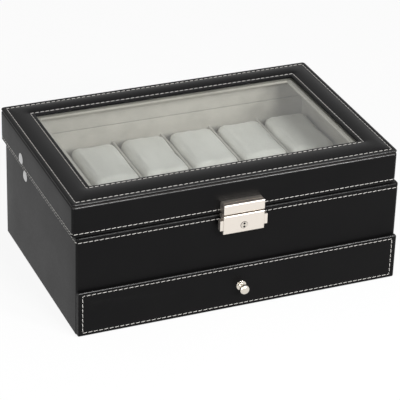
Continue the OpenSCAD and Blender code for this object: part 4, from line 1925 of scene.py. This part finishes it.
@dataclass
class HingeScrews:
    """Small cross-head screws in the hinge leaves."""

    head_r: float = 2.0
    head_h: float = 0.7
    leaf_face_y: float = 98.0
    hinge_x: float = 88.0
    hinge_w: float = 36.0
    knuckle_r: float = 2.2
    leaf_h: float = 15.0
    cross_w: float = 0.3
    cross_reach: float = 1.25
    cross_deep: float = 0.35

    def head(self) -> tuple[np.ndarray, list[list[int]]]:
        """A domed head with a cross pressed into it.

        The dome falls by a share of its height times the radius to the power 2.4. It
        is pressed in where a point is near one arm of the cross and within its reach.

        Returns:
            Points about the origin, facing +Y, and faces.
        """
        rows, columns = 9, 24
        radius = np.linspace(0.08, 1.0, rows)[:, None] * self.head_r
        spin = arc(columns, 0, 360)[:-1]
        x, z = radius * spin[None, :, 0], radius * spin[None, :, 1]
        dome = self.head_h * (1 - 0.55 * (radius / self.head_r) ** 2.4)
        arm = np.minimum(np.abs(x), np.abs(z)) < self.cross_w
        reach = np.maximum(np.abs(x), np.abs(z)) < self.cross_reach
        y = dome + 0 * x - self.cross_deep * (arm & reach)
        points = np.stack([x, y, z], axis=-1)
        skirt = points[-1] * [1, 0, 1] + [0, -0.3, 0]
        points = np.concatenate([points, skirt[None]], axis=0)
        return points.reshape(-1, 3), tube_faces(rows + 1, columns)

    def build(self) -> None:
        """Makes the screws of both leaves."""
        points, faces = self.head()
        axis_z = (bottom_of("hinge_pins") + top_of("hinge_pins")) / 2
        for body, up in ((Body.CASE, -1), (Body.LID, 1)):
            parts = []
            for side in (-1, 1):
                for k in (-1, 0, 1):
                    share = 0.72 if k == 0 else 0.45
                    place = [
                        side * self.hinge_x + k * self.hinge_w / 3,
                        self.leaf_face_y,
                        axis_z + up * (self.knuckle_r + self.leaf_h * share),
                    ]
                    parts.append(Shape((points + place) * MM, faces))
            Shape.joined(parts).piece(
                f"hinge_screws_{body.value}", body, STEEL, "steel"
            )


# ---- The keyway ----


@dataclass
class Keyway:
    """Black discs painted as the shade in the lock's two pin holes, and a black ring painted as
    the shadow in the groove round the collar.
    """

    collar_r: float = 3.0
    line_w: float = 0.36
    line_h: float = 0.08
    hole_r: float = 1.0
    hole_out: float = 1.5
    collar_h: float = 0.4
    proud: float = 0.02
    deep: float = 0.7
    step: float = 0.14
    middle_r: float = 0.5
    taper: float = 0.05

    def build(self) -> None:
        """Makes the painted shade discs in the two holes and the painted shadow line round the
        collar.
        """
        low, high = (np.array(corner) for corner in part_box("lock_plug"))
        middle = (low + high) / 2
        face = low[1]
        inside = self.hole_r - self.step
        plug = np.array(
            [[inside, -self.deep], [inside, 0.0], [self.hole_r, 0.0],
             [self.hole_r, self.proud], [self.middle_r, 0.6 * self.proud]]
        )
        holes = [
            spun(plug, (middle[0], face, middle[2] + up * self.hole_out * MM))
            for up in (-1, 1)
        ]
        # Black discs stand for the shade inside the two holes
        Shape.joined(holes).piece("keyway_holes_painted_shade", Body.PLUG, PAINTED_SHADE, "steel")
        inner, outer = self.collar_r - self.taper, self.collar_r + self.line_w
        line = np.array(
            [[inner, 0.0], [outer, 0.0], [outer - self.taper, self.line_h],
             [inner, self.line_h]]
        )
        foot = (middle[0], face + self.collar_h * MM, middle[2])
        # Black ring stands for the shadow in the groove round the collar
        spun(line, foot, looped=True).piece("collar_painted_shadow_line", Body.CASE, PAINTED_SHADE, "steel")


# ---- What keeps its packed form ----


@dataclass(frozen=True)
class Fittings:
    """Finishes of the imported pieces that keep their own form."""

    metal: tuple[tuple[Finish, tuple[str, ...]], ...] = (
        (
            SATIN,
            (
                "hasp", "lock_housing", "lock_button_left", "lock_button_right",
                "hinge_leaves_case", "hinge_leaves_lid",
            ),
        ),
        (STUD, ("stay_stud_case", "stay_stud_lid")),
        (MIRROR, ("lock_plug", "drawer_knob")),
        (
            STEEL,
            (
                "hinge_pins", "stay_arm_lower", "stay_arm_upper",
                "stay_elbow_rivet", "lock_springs", "knob_screw",
            ),
        ),
    )
    other: tuple[tuple[Finish, tuple[str, ...]], ...] = (
        (GLASS, ("lid_glass",)),
        (FELT, ("base_felt",)),
    )

    def build(self) -> None:
        """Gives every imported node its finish; boards are what is not named."""
        named = {n: f for f, nodes in (*self.metal, *self.other) for n in nodes}
        for name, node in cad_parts.items():
            finish = named.get(name, BOARD)
            slots = node.data.materials
            if not slots:
                slots.append(finish.material())
            for index in range(len(slots)):
                slots[index] = finish.material()
            LOG.info("%s: %s", name, finish.name)


# ---- Table, light and camera ----


@dataclass(frozen=True)
class Lamp:
    """A square soft light."""

    name: str
    place: tuple[float, float, float]
    size: float
    power: float
    aim: tuple[float, float, float] = (0.0, 0.0, 0.06)


@dataclass
class Studio:
    """The pale table, the soft lights and the camera."""

    lamps: tuple[Lamp, ...] = (
        Lamp("key", (0.20, -1.38, 1.04), 0.42, 17.0),
        Lamp("side", (0.62, -1.15, 0.66), 0.26, 10.0),
        Lamp("fill", (-1.5, -0.70, 0.62), 0.9, 13.0),
    )
    sky: float = 0.4
    reach: float = 4.0
    yaw: float = 23.312
    pitch: float = 28.652
    roll: float = -1.861
    eye: tuple[float, float, float] = (-0.6333, -1.4742, 0.9315)
    lens: float = 182.67
    sensor: float = 36.0

    def table(self) -> bpy.types.Object:
        """A round white table top."""
        rows, columns = 12, 64
        radius = self.reach * np.linspace(0.02, 1, rows)[:, None] ** 2
        spin = arc(columns, 0, 360)[:-1]
        x, y = radius * spin[None, :, 0], radius * spin[None, :, 1]
        points = np.stack([x, y, 0 * x], axis=-1).reshape(-1, 3)
        faces = [list(f)[::-1] for f in grid_faces(rows, columns, False, True)]
        faces.append(list(range(columns)))
        mesh = bpy.data.meshes.new("table")
        mesh.from_pydata(points.tolist(), [], faces)
        table = added("table", mesh)
        table.data.materials.append(TABLE.material())
        return table

    def world(self) -> None:
        """A plain sky: white to the eye and in mirrors, softer as light."""
        world = bpy.data.worlds.new("studio")
        bpy.context.scene.world = world
        graph = Graph(world)
        light = graph.read("ShaderNodeBackground", values={"Strength": self.sky})
        white = graph.read("ShaderNodeBackground", values={"Color": WHITE})
        sky = graph.mixed(graph.seen(), light, white)
        graph.node("ShaderNodeOutputWorld", values={"Surface": sky})

    def lights(self) -> None:
        """Hangs the lamps and aims them at the box."""
        for lamp in self.lamps:
            data = bpy.data.lights.new(lamp.name, "AREA")
            data.shape, data.size, data.energy = "SQUARE", lamp.size, lamp.power
            made = added(lamp.name, data)
            aim = Vector(lamp.aim) - Vector(lamp.place)
            made.rotation_mode = "QUATERNION"
            made.rotation_quaternion = aim.to_track_quat("-Z", "Y")
            made.location = lamp.place

    def camera(self) -> bpy.types.Object:
        """A long lens to the left of the box, looking down on it."""
        a, b, c = (math.radians(v) for v in (self.yaw, self.pitch, self.roll))
        forward = Vector((math.sin(a) * math.cos(b), math.cos(a) * math.cos(b), -math.sin(b)))
        level = Vector((math.cos(a), -math.sin(a), 0.0))
        down = forward.cross(level)
        right = level * math.cos(c) + down * math.sin(c)
        up = level * math.sin(c) - down * math.cos(c)
        turn = Matrix((right, up, -forward)).transposed().to_4x4()
        data = bpy.data.cameras.new("camera")
        data.lens, data.sensor_width = self.lens, self.sensor
        camera = added("camera", data)
        camera.matrix_world = Matrix.Translation(self.eye) @ turn
        bpy.context.scene.camera = camera
        return camera

    def build(self) -> None:
        """Sets up table, world, lamps and camera."""
        self.table()
        self.world()
        self.lights()
        self.camera()
        bpy.context.scene.view_settings.view_transform = "Standard"


def main() -> None:
    """Dresses the box and sets up the studio."""
    logging.basicConfig(level=logging.INFO, format="%(message)s")
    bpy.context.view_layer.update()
    for part in (
        Studio(), Fittings(), Case(), Dividers(), Cushions(), Lid(), Drawer(),
        HingeScrews(), Keyway(),
    ):
        LOG.info("building %s", type(part).__name__)
        part.build()


if __name__ == "__main__":
    main()
